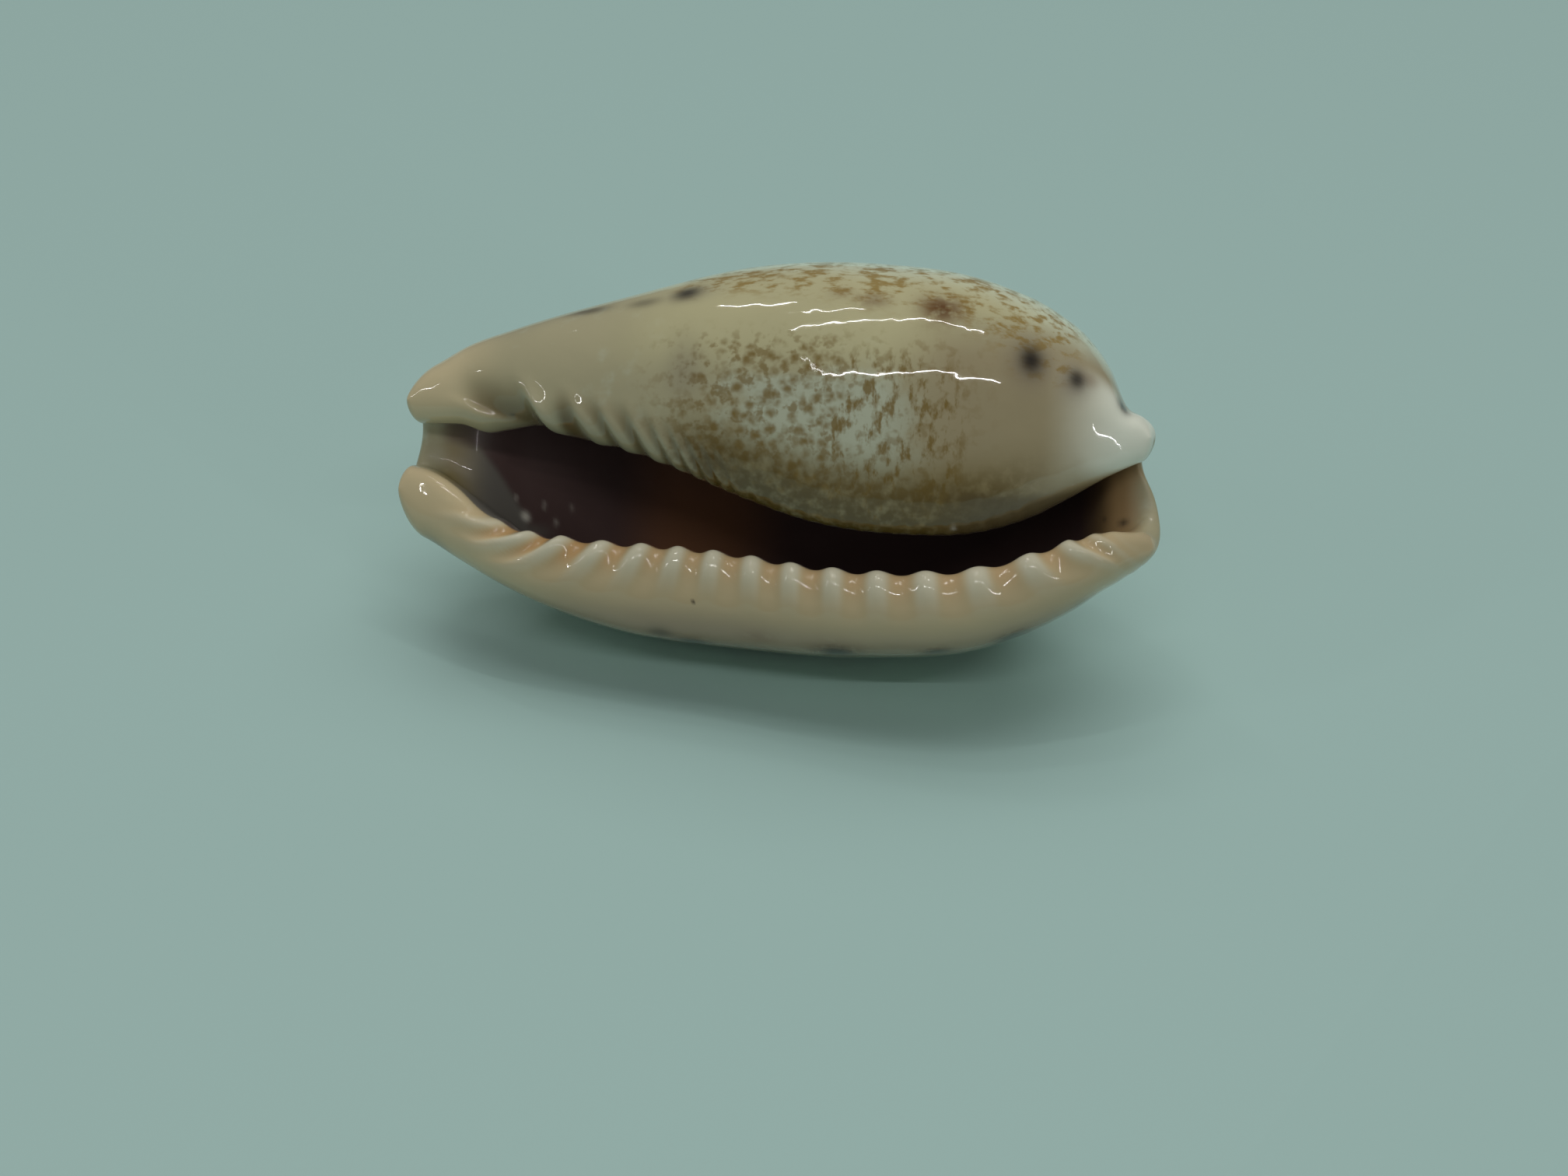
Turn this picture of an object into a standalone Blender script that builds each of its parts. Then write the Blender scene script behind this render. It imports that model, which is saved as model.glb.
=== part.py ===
"""Caurica cowrie: one glossy shell, lying on the low side of its back, its toothed aperture facing forward.

The shell is lofted from ring-shaped sections along its length, in its own frame: x runs from the front
(siphonal) end to the rear (spire) end, u runs towards the columella, and n runs out of the base. Each ring
goes round the outside from the outer lip, over the back, to the columella, and returns along the inside of
the wall. It is then turned to the way the shell lies, and a small flat spot is cut where it touches the
surface.
"""

import math

import bmesh
import bpy
import numpy as np
from mathutils import Matrix, Vector

MM = 0.001

# The way the shell lies
BASE_FACES_UP_DEG = 36.9
REAR_END_RAISED_DEG = 5.6
FLAT_SPOT_DEPTH = 0.3

# Places along the shell, in millimetres from the front end, where the section is stated
SHELL_LENGTH = 42.0
STATIONS = (0.0, 1.2, 3.0, 5.5, 12.0, 19.0, 26.0, 33.0, 36.0, 38.0, 39.2, 40.2, 41.2, 42.0)

# The outside, in millimetres: how far each margin stands from the middle line, and its level
LIP_MARGIN_U = (4.45, 4.95, 6.05, 7.4, 9.7, 10.5, 10.7, 9.8, 8.5, 7.3, 6.4, 5.8, 5.4, 5.2)
LIP_MARGIN_N = (-1.9, -1.9, -2.0, -2.4, -3.5, -4.4, -4.8, -4.5, -4.1, -3.8, -3.8, -3.8, -3.9, -4.0)
COLUMELLA_MARGIN_U = (4.7, 5.2, 6.3, 7.3, 9.45, 11.3, 11.6, 10.4, 9.1, 7.6, 6.0, 3.8, 3.4, 3.3)
COLUMELLA_MARGIN_N = (-1.9, -1.9, -2.0, -2.4, -3.7, -4.7, -4.9, -4.2, -4.8, -5.8, -5.8, -3.9, -3.4, -3.4)
BACK_U = (0.6, 0.6, 0.6, 0.6, 0.4, 0.2, 0.0, 0.0, 0.2, 0.3, 0.3, 0.2, 0.2, 0.3)
BACK_DEPTH = (3.9, 4.1, 5.0, 8.5, 13.1, 15.6, 15.9, 13.9, 11.5, 8.9, 6.3, 5.7, 5.6, 5.4)

# The base: crest of the outer lip, crest of the columella, and the two edges of the aperture
LIP_CREST_N = (-0.3, 0.1, 0.5, 0.8, 1.0, 1.1, 1.5, 1.2, 0.4, -0.1, -0.5, -1.0, -1.7, -2.5)
COLUMELLA_CREST_U = (3.1, 3.2, 3.2, 3.3, 3.3, 3.5, 3.6, 3.4, 3.1, 2.8, 2.5, 2.2, 2.1, 2.1)
COLUMELLA_CREST_N = (0.1, 0.3, 0.6, 1.0, 1.4, 2.4, 2.7, 1.5, 0.4, -0.3, -0.8, -1.2, -1.6, -1.9)
EDGE_STATIONS = (0, 1.2, 3, 4.4, 5.6, 7.4, 9.4, 12, 15, 19, 23, 28, 33, 35.2, 37.2, 39.4, 41, 42)
LIP_EDGE_U = (
    0.5, 0.8, 1.9, 3.1, 3.8, 4.45, 4.67, 4.87, 4.97, 5.27, 5.77, 5.97, 5.45, 4.75, 3.95, 3.2, 3.1, 3.1,
)
COLUMELLA_EDGE_U = (
    1.7, 1.7, 1.7, 1.3, 1.5, 1.8, 1.2, 0.7, -0.2, -1.8, -3.1, -3.7, -3.3, -2.5, -1.4, -0.1, 0.5, 0.85,
)

# The inside of the wall
LIP_WALL_U = (0.6, 0.8, 2.1, 4.1, 7.4, 8.2, 8.4, 7.6, 6.5, 5.4, 4.3, 3.4, 2.3, 1.2)
COLUMELLA_WALL_U = (1.9, 2.0, 2.6, 4.6, 7.8, 9.7, 10.0, 8.8, 7.0, 5.2, 3.6, 2.0, 1.5, 1.3)
CAVITY_DEPTH = (2.6, 2.7, 3.3, 5.9, 11.7, 14.4, 14.7, 12.7, 10.1, 7.3, 5.1, 4.5, 4.2, 4.0)
LIP_UNDERSIDE_N = (-1.9, -1.9, -1.9, -2.1, -2.3, -2.4, -2.0, -2.1, -2.5, -2.8, -3.1, -3.3, -3.6, -3.9)
COLUMELLA_UNDERSIDE_N = (-1.9, -1.9, -2.1, -2.8, -3.3, -3.2, -3.0, -3.4, -3.5, -3.4, -3.3, -3.4, -3.5, -3.5)
# How far the lip's crest stands in from its edge, each edge lies below its crest, and each underside starts
# in from its edge, in millimetres; and the share of the room there that each takes at most near the ends
LIP_CREST_INSET = 1.5
LIP_EDGE_DROP = 0.9
COLUMELLA_EDGE_DROP = 2.4
LIP_UNDERSIDE_INSET = 0.9
COLUMELLA_UNDERSIDE_INSET = 1.35
CREST_INSET_SHARE = 0.45
LIP_DROP_SHARE = 0.45
COLUMELLA_DROP_SHARE = 0.6
UNDERSIDE_SHARE = 0.4

# The two ends, in millimetres, at places round a ring from the lip's crest (0) to the columella's (4): how
# far the wall's rounded rim reaches along the shell, and how far the ring is shifted at the end itself
RIM_PLACES = (0.0, 1.0, 2.0, 3.0, 4.0)
FRONT_RIM = (1.1, 1.1, 1.3, 1.4, 1.2)
REAR_RIM = (2.2, 2.5, 1.0, 1.6, 1.6)
INSIDE_RIM_SHARE = 0.45
SHIFT_PLACES = (0.0, 1.0, 1.7, 2.1, 3.0, 4.0)
FRONT_SHIFT = (-0.72, -0.62, -0.55, -0.1, -0.25, -0.2)
REAR_SHIFT = (-0.3, 0.25, 0.0, -1.2, -0.2, -0.6)
END_SHIFT_REACH = 4.0
END_SOFTENING_REACH = 2.6
END_SOFTENING_PASSES = 4

# Teeth of the outer lip, in millimetres from the front end, and how far each leans along the lip per
# millimetre; where across the lip they start and finish to flatten; and how the row fades at both ends
LIP_TEETH = (5.5, 7.5, 9.3, 11.7, 13.9, 16, 18, 20.2, 22.4, 24.7, 27.1, 29.7, 32.4, 35.1, 37.2, 38.6, 39.7)
TOOTH_LEANS = (
    -1.45, -1.2, -0.85, -0.62, -0.38, -0.2, -0.1, -0.03, 0.0, 0.02, 0.06, 0.12, 0.25, 0.45, 0.75, 1.1, 1.3,
)
TOOTH_HEIGHT = 0.5
TOOTH_SHARPNESS = 1.15
TOOTH_FLATTENS = (0.5, 3.2)
TOOTH_FRONT_FADE = (-1.5, 1.6)
TOOTH_REAR_FADE = (-2.4, 1.3)
# The front folds of the columella: each rises more steeply on its front flank than on its rear one
COLUMELLA_FOLDS = (8.4, 11.05, 12.75, 14.45, 15.75)
FOLD_HEIGHTS = (0.48, 0.42, 0.41, 0.37, 0.31)
FOLD_WIDTHS = (1.1, 1.15, 1.05, 1.0, 0.85)
FOLD_FRONT_FLANK = 0.78
FOLD_REAR_FLANK = 1.2
FOLD_LEAN = 0.55
FOLD_FLATTENS = (0.8, 4.3)
# The hollow before the first fold: its middle line, its depth, and how far it reaches above and below it
HOLLOW_X = (2.4, 3.6, 4.35, 5.8, 7.2)
HOLLOW_U = (3.6, 3.2, 2.85, 2.35, 2.05)
HOLLOW_DEPTH = 0.46
HOLLOW_ABOVE = 1.25
HOLLOW_BELOW = 0.45
HOLLOW_START = (5.6, 1.8)
HOLLOW_END = (-0.9, -0.1)
HOLLOW_FOLD_LEVEL = 1.7
HOLLOW_EDGE_PLACES = (3.46, 3.42)
# Which way teeth and folds stand out of the surface
TOOTH_TOWARDS_GAP = 0.55
TOOTH_OUTWARDS = 0.66
FOLD_TOWARDS_GAP = 0.35
FOLD_OUTWARDS = 0.85

# How finely the solid is cut: rings for each tooth, and points for each stretch of a ring
RINGS_PER_TOOTH = 4
RIM_RINGS = 5
LEAD_IN_RINGS = 4
OUTSIDE_STEPS = (8, 6, 6, 9)
INSIDE_STEPS = (4, 2, 2, 6, 6, 2, 2, 5)
ARC_ROUNDNESS = {"lip": 2.5, "back": 2.1, "columella": 2.2, "inside": 2.2}


def smooth_curve(places, values, x):
    """Value at x of the smooth curve through the stated values (cubic, with the slopes of its neighbours)."""
    places = np.asarray(places, float)
    values = np.asarray(values, float)
    slopes = np.gradient(values, places)
    i = int(np.clip(np.searchsorted(places, x, side="right") - 1, 0, len(places) - 2))
    span = places[i + 1] - places[i]
    t = (x - places[i]) / span
    return float(
        (1 + 2 * t) * (1 - t) ** 2 * values[i]
        + t * (1 - t) ** 2 * span * slopes[i]
        + t * t * (3 - 2 * t) * values[i + 1]
        + t * t * (t - 1) * span * slopes[i + 1]
    )


def quarter_arc(start, end, steps, roundness, leaves_level):
    """Points from start up to, but not including, end, along a quarter of a superellipse in (u, n)."""
    points = []
    for k in range(steps):
        angle = math.pi / 2 * k / steps
        rise = math.sin(angle) ** (2 / roundness)
        fall = 1 - math.cos(angle) ** (2 / roundness)
        across, along = (rise, fall) if leaves_level else (fall, rise)
        points.append((start[0] + (end[0] - start[0]) * across, start[1] + (end[1] - start[1]) * along))
    return points


def section_keys(x):
    """The turning points of the section at x, as (u, n) in millimetres."""

    def at(values):
        return smooth_curve(STATIONS, values, x)

    lip_edge = smooth_curve(EDGE_STATIONS, LIP_EDGE_U, x)
    columella_edge = smooth_curve(EDGE_STATIONS, COLUMELLA_EDGE_U, x)
    crest_inset = min(LIP_CREST_INSET, CREST_INSET_SHARE * (at(LIP_MARGIN_U) - lip_edge))
    lip_crest = (-lip_edge - crest_inset, at(LIP_CREST_N))
    columella_crest = (at(COLUMELLA_CREST_U), at(COLUMELLA_CREST_N))
    lip_under = at(LIP_UNDERSIDE_N)
    columella_under = at(COLUMELLA_UNDERSIDE_N)
    lip_drop = min(LIP_EDGE_DROP, LIP_DROP_SHARE * (lip_crest[1] - lip_under))
    columella_drop = min(COLUMELLA_EDGE_DROP, COLUMELLA_DROP_SHARE * (columella_crest[1] - columella_under))
    lip_wall = -at(LIP_WALL_U)
    columella_wall = at(COLUMELLA_WALL_U)
    lip_inset = min(LIP_UNDERSIDE_INSET, UNDERSIDE_SHARE * (-lip_edge - lip_wall))
    columella_inset = min(COLUMELLA_UNDERSIDE_INSET, UNDERSIDE_SHARE * (columella_wall - columella_edge))
    back_inside = -at(CAVITY_DEPTH)
    return {
        "lip_crest": lip_crest,
        "lip_margin": (-at(LIP_MARGIN_U), at(LIP_MARGIN_N)),
        "back": (at(BACK_U), -at(BACK_DEPTH)),
        "columella_margin": (at(COLUMELLA_MARGIN_U), at(COLUMELLA_MARGIN_N)),
        "columella_crest": columella_crest,
        "lip_edge": (-lip_edge, lip_crest[1] - lip_drop),
        "lip_underside": (-lip_edge - lip_inset, lip_under),
        "lip_wall": (lip_wall, (lip_under + back_inside) / 2),
        "back_inside": (at(BACK_U), back_inside),
        "columella_wall": (columella_wall, (columella_under + back_inside) / 2),
        "columella_underside": (columella_edge + columella_inset, columella_under),
        "columella_edge": (columella_edge, columella_crest[1] - columella_drop),
    }


def section_ring(x):
    """(outside, inside): two rows of as many (u, n) points, from the lip's crest to the columella's."""
    key = section_keys(x)
    outside_path = ("lip_crest", "lip_margin", "back", "columella_margin", "columella_crest")
    inside_path = (
        "lip_crest",
        "lip_edge",
        "lip_underside",
        "lip_wall",
        "back_inside",
        "columella_wall",
        "columella_underside",
        "columella_edge",
        "columella_crest",
    )
    shapes = (ARC_ROUNDNESS["lip"], ARC_ROUNDNESS["back"], ARC_ROUNDNESS["back"], ARC_ROUNDNESS["columella"])
    outside = []
    for i, (steps, roundness) in enumerate(zip(OUTSIDE_STEPS, shapes)):
        outside += quarter_arc(key[outside_path[i]], key[outside_path[i + 1]], steps, roundness, i % 2 == 0)
    inside = []
    for i, steps in enumerate(INSIDE_STEPS):
        inside += quarter_arc(
            key[inside_path[i]], key[inside_path[i + 1]], steps, ARC_ROUNDNESS["inside"], i % 2 == 0
        )
    outside.append(key["columella_crest"])
    inside.append(key["columella_crest"])
    return outside, inside


def round_the_ring(stops, values, place):
    """A value stated at stops round a ring, read at a place from 0 (lip crest) to 4 (columella crest)."""
    i = int(np.clip(np.searchsorted(stops, place, side="right") - 1, 0, len(stops) - 2))
    return values[i] + (values[i + 1] - values[i]) * fade(place, stops[i + 1], stops[i])


def outside_places():
    """Where each point of a ring's row stands, from 0 at the lip's crest to 4 at the columella's."""
    places = []
    for i, steps in enumerate(OUTSIDE_STEPS):
        places += [i + k / steps for k in range(steps)]
    return places + [len(OUTSIDE_STEPS)]


def tooth_row():
    """(places, counts): the x of each tooth of the outer lip and its number, and one more at both ends."""
    before = 2 * LIP_TEETH[0] - LIP_TEETH[1]
    after = 2 * LIP_TEETH[-1] - LIP_TEETH[-2]
    return (before, *LIP_TEETH, after), range(-1, len(LIP_TEETH) + 1)


def ridge(phase):
    """Height, 0 to 1, of a rounded ridge on each whole number, with wider hollows between."""
    return (0.5 + 0.5 * math.cos(2 * math.pi * phase)) ** TOOTH_SHARPNESS


def fade(value, full, gone):
    """1 at full, 0 at gone, and smooth between them."""
    t = min(max((value - gone) / (full - gone), 0.0), 1.0)
    return t * t * (3 - 2 * t)


def lip_tooth_height(x, across):
    """How far a tooth stands out of the lip at x, across millimetres from the aperture's edge."""
    lean = np.interp(x, LIP_TEETH, TOOTH_LEANS)
    ridge_x = x - lean * across
    starts = fade(LIP_TEETH[0] - ridge_x, *TOOTH_FRONT_FADE)
    stops = fade(ridge_x - LIP_TEETH[-1], *TOOTH_REAR_FADE)
    phase = np.interp(ridge_x, *tooth_row())
    return TOOTH_HEIGHT * ridge(phase) * starts * stops * fade(abs(across), *TOOTH_FLATTENS)


def columella_fold_height(x, across):
    """How far a fold stands out of the columella at x, across millimetres from its edge."""
    ridge_x = x + FOLD_LEAN * across
    total = 0.0
    for fold, height, width in zip(COLUMELLA_FOLDS, FOLD_HEIGHTS, FOLD_WIDTHS):
        flank = width * (FOLD_FRONT_FLANK if ridge_x < fold else FOLD_REAR_FLANK)
        total += height * math.exp(-((2 * (ridge_x - fold) / flank) ** 2))
    return total * fade(abs(across), *FOLD_FLATTENS)


def hollow_depth(x, u):
    """How deep the hollow before the first fold is at (x, u)."""
    above = u - np.interp(x, HOLLOW_X, HOLLOW_U)
    reach = HOLLOW_ABOVE if above > 0 else HOLLOW_BELOW
    first_fold = COLUMELLA_FOLDS[0] - FOLD_LEAN * (u - HOLLOW_FOLD_LEVEL)
    ends = fade(x, *HOLLOW_START) * fade(x - first_fold, *HOLLOW_END)
    return HOLLOW_DEPTH * math.exp(-((above / reach) ** 2)) * ends


def ring_stations():
    """The x of every ring: some for each tooth, and closer ones in the rounded rims of the two ends."""
    places, counts = tooth_row()
    front_reach = max(FRONT_RIM)
    rear_reach = max(REAR_RIM)
    steps = np.arange(counts[0], counts[-1], 1 / RINGS_PER_TOOTH)
    rear_start = SHELL_LENGTH - rear_reach
    middle = [float(x) for x in np.interp(steps, counts, places) if front_reach < x < rear_start]
    bend = [1 - math.cos(math.pi / 2 * k / RIM_RINGS) for k in range(1, RIM_RINGS + 1)]
    lead_in = [front_reach + (middle[0] - front_reach) * k / LEAD_IN_RINGS for k in range(1, LEAD_IN_RINGS)]
    front = [front_reach * share for share in bend]
    rear = [SHELL_LENGTH - rear_reach * share for share in reversed(bend)]
    return [*front, *lead_in, *middle, *rear]


def rim_fullness(x, place, reach_share):
    """Share of the wall's thickness at x: it rounds off to nothing at each end of the shell."""
    front = x / (reach_share * round_the_ring(RIM_PLACES, FRONT_RIM, place))
    rear = (SHELL_LENGTH - x) / (reach_share * round_the_ring(RIM_PLACES, REAR_RIM, place))
    return math.sqrt(1 - (1 - min(front, rear, 1.0)) ** 2)


def ring_points(x):
    """The ring at x as two rows of (x, u, n), with teeth, folds, rounded rims and the shifts at the ends."""
    outside, inside = section_ring(x)
    lip_edge = smooth_curve(EDGE_STATIONS, LIP_EDGE_U, x)
    columella_edge = smooth_curve(EDGE_STATIONS, COLUMELLA_EDGE_U, x)
    front = (1 - min(x / END_SHIFT_REACH, 1.0)) ** 2
    rear = (1 - min((SHELL_LENGTH - x) / END_SHIFT_REACH, 1.0)) ** 2
    rows = ([], [])
    for outer, inner, place in zip(outside, inside, outside_places()):
        middle = (0.5 * (outer[0] + inner[0]), 0.5 * (outer[1] + inner[1]))
        front_shift = front * round_the_ring(SHIFT_PLACES, FRONT_SHIFT, place)
        rear_shift = rear * round_the_ring(SHIFT_PLACES, REAR_SHIFT, place)
        for row, (u, n), reach_share in zip(rows, (outer, inner), (1.0, INSIDE_RIM_SHARE)):
            full = rim_fullness(x, place, reach_share)
            u = middle[0] + (u - middle[0]) * full
            n = middle[1] + (n - middle[1]) * full
            if place <= 1:
                raised = full * lip_tooth_height(x, -u - lip_edge)
                u, n = u + TOOTH_TOWARDS_GAP * raised, n + TOOTH_OUTWARDS * raised
            if place >= 3:
                raised = full * columella_fold_height(x, u - columella_edge)
                dent = full * hollow_depth(x, u) * fade(place, *HOLLOW_EDGE_PLACES)
                u, n = u - FOLD_TOWARDS_GAP * raised, n + FOLD_OUTWARDS * raised - dent
            row.append((x + front_shift + rear_shift, u, n))
    return rows


def softened(loop, x):
    """A ring's points with its corners rounded, fully at the shell's two ends and less away from them."""
    points = np.array(loop)
    weight = fade(min(x, SHELL_LENGTH - x), 0.0, END_SOFTENING_REACH)
    for _ in range(END_SOFTENING_PASSES):
        beside = (np.roll(points, 1, axis=0) + np.roll(points, -1, axis=0)) / 2
        points = points + weight * (beside - points) / 2
    return points


def add_ring(mesh, x):
    """Adds one ring's points and returns them in order round the ring."""
    outside, inside = ring_points(x)
    loop = softened(outside + inside[-2:0:-1], x)
    return [mesh.verts.new(Vector(point) * MM) for point in loop]


def close_end(mesh, ring):
    """Closes an end ring across the wall, from its outside row to its inside row."""
    count = len(ring)
    half = count // 2
    mesh.faces.new((ring[0], ring[1], ring[count - 1]))
    for i in range(1, half - 1):
        mesh.faces.new((ring[i], ring[i + 1], ring[count - i - 1], ring[count - i]))
    mesh.faces.new((ring[half - 1], ring[half], ring[half + 1]))


def loft_shell():
    """The whole shell as one closed mesh in its own frame, in metres."""
    mesh = bmesh.new()
    rings = [add_ring(mesh, x) for x in ring_stations()]
    for ring, following in zip(rings, rings[1:]):
        for i in range(len(ring)):
            j = (i + 1) % len(ring)
            mesh.faces.new((ring[i], ring[j], following[j], following[i]))
    close_end(mesh, rings[0])
    close_end(mesh, rings[-1])
    bmesh.ops.recalc_face_normals(mesh, faces=mesh.faces)
    return mesh


def lying_rotation():
    """Turns the shell's own frame to the way it lies: base up and forward, rear end a little raised."""
    up = math.radians(BASE_FACES_UP_DEG)
    axes = Matrix(
        (
            (1.0, 0.0, 0.0),
            (0.0, math.sin(up), -math.cos(up)),
            (0.0, math.cos(up), math.sin(up)),
        )
    )
    return Matrix.Rotation(-math.radians(REAR_END_RAISED_DEG), 3, "Y") @ axes


def cut_flat_spot(mesh):
    """Cuts the lowest point off level, and moves the flat spot's centre to the origin."""
    lowest = min(vert.co.z for vert in mesh.verts)
    level = lowest + FLAT_SPOT_DEPTH * MM
    cut = bmesh.ops.bisect_plane(
        mesh,
        geom=[*mesh.verts, *mesh.edges, *mesh.faces],
        plane_co=(0, 0, level),
        plane_no=(0, 0, -1),
        clear_outer=True,
    )
    rim = [item for item in cut["geom_cut"] if isinstance(item, bmesh.types.BMEdge)]
    bmesh.ops.holes_fill(mesh, edges=rim)
    corners = {vert for edge in rim for vert in edge.verts}
    centre_x = (min(v.co.x for v in corners) + max(v.co.x for v in corners)) / 2
    centre_y = (min(v.co.y for v in corners) + max(v.co.y for v in corners)) / 2
    bmesh.ops.translate(mesh, verts=mesh.verts, vec=(-centre_x, -centre_y, -level))


def shell_material():
    """Glossy cream and pale grey-brown shell."""
    material = bpy.data.materials.new("glossy_shell")
    material.use_nodes = True
    surface = material.node_tree.nodes["Principled BSDF"]
    surface.inputs["Base Color"].default_value = (0.62, 0.50, 0.34, 1.0)
    surface.inputs["Roughness"].default_value = 0.18
    surface.inputs["Metallic"].default_value = 0.0
    return material


def build():
    """Makes the shell's object."""
    for obj in list(bpy.data.objects):
        bpy.data.objects.remove(obj)
    mesh = loft_shell()
    bmesh.ops.transform(mesh, matrix=lying_rotation().to_4x4(), verts=mesh.verts)
    cut_flat_spot(mesh)
    data = bpy.data.meshes.new("cowrie_shell")
    mesh.to_mesh(data)
    mesh.free()
    data.materials.append(shell_material())
    data.shade_smooth()
    shell = bpy.data.objects.new("cowrie_shell", data)
    bpy.context.scene.collection.objects.link(shell)
    return shell


build()
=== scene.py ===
"""Caurica cowrie lying on the low side of its back, the toothed aperture facing forward and up.

The shell's skin starts as a flat grid whose points are carried to their places on ring-shaped sections. The
sections are stated in the shell's own frame, in millimetres: x runs from the front (siphonal) end to the rear
(spire) end, u runs towards the columella, and n runs out of the base. Each point also keeps its own-frame
place and a few marks (callus, speckles, teeth, spots), which the shell's material reads.
"""

import logging
import math
from dataclasses import dataclass, field
from enum import Enum

import bmesh
import bpy
import numpy as np
from mathutils import Matrix, Vector

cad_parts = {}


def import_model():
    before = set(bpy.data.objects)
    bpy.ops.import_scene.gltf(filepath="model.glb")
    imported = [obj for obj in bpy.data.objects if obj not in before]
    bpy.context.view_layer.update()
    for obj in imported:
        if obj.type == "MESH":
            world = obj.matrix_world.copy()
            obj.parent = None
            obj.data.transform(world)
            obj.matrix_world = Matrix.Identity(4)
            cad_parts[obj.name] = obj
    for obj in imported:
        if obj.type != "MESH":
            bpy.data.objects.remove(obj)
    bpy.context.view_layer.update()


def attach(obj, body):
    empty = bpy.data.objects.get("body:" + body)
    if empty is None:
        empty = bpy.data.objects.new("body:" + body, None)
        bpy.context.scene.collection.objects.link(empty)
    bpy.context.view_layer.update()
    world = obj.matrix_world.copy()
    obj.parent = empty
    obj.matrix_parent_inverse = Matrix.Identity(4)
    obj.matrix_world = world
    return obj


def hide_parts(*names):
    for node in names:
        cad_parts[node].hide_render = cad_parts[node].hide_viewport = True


LOG = logging.getLogger("cowrie")
MM = 0.001
Colour = tuple[float, float, float]
Place = tuple[float, float, float]
Pair = tuple[float, float]
Values = tuple[float, ...]
Row = np.ndarray
Socket = bpy.types.NodeSocket


def fade(value: Row | float, full: float, gone: float) -> Row:
    """Weight that is 1 at full, 0 at gone, and smooth between them.

    Args:
        value: the number or numbers to weigh.
        full: where the weight is 1.
        gone: where the weight is 0.

    Returns:
        The weights, in the shape of value.
    """
    t = np.clip((np.asarray(value, float) - gone) / (full - gone), 0.0, 1.0)
    return t * t * (3 - 2 * t)


def smooth_curve(places: Values, values: Values, x: float) -> float:
    """Value at x of the smooth curve through stated values.

    Args:
        places: where the values are stated, rising.
        values: one value for each place.
        x: where the curve is read.

    Returns:
        The curve's value.
    """
    at = np.asarray(places, float)
    stated = np.asarray(values, float)
    slopes = np.gradient(stated, at)
    i = int(np.clip(np.searchsorted(at, x, side="right") - 1, 0, len(at) - 2))
    span = at[i + 1] - at[i]
    t = (x - at[i]) / span
    return float(
        (1 + 2 * t) * (1 - t) ** 2 * stated[i]
        + t * (1 - t) ** 2 * span * slopes[i]
        + t * t * (3 - 2 * t) * stated[i + 1]
        + t * t * (t - 1) * span * slopes[i + 1]
    )


def quarter_arc(
    start: Pair, end: Pair, steps: int, roundness: float, leaves_level: bool
) -> Row:
    """Points along a quarter of a superellipse in (u, n), from start up to, but not including, end.

    Args:
        start: the (u, n) point where the arc starts.
        end: the (u, n) point where the arc ends.
        steps: how many points.
        roundness: the superellipse's power, 2 for an ellipse.
        leaves_level: whether the arc leaves its start along u rather than along n.

    Returns:
        An array of (u, n) rows.
    """
    angle = math.pi / 2 * np.arange(steps) / steps
    rise = np.sin(angle) ** (2 / roundness)
    fall = 1 - np.cos(angle) ** (2 / roundness)
    across, along = (rise, fall) if leaves_level else (fall, rise)
    return np.stack(
        (start[0] + (end[0] - start[0]) * across, start[1] + (end[1] - start[1]) * along), axis=1
    )


class Side(Enum):
    """The two skins of the wall."""

    OUTSIDE = 0
    INSIDE = 1


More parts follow.
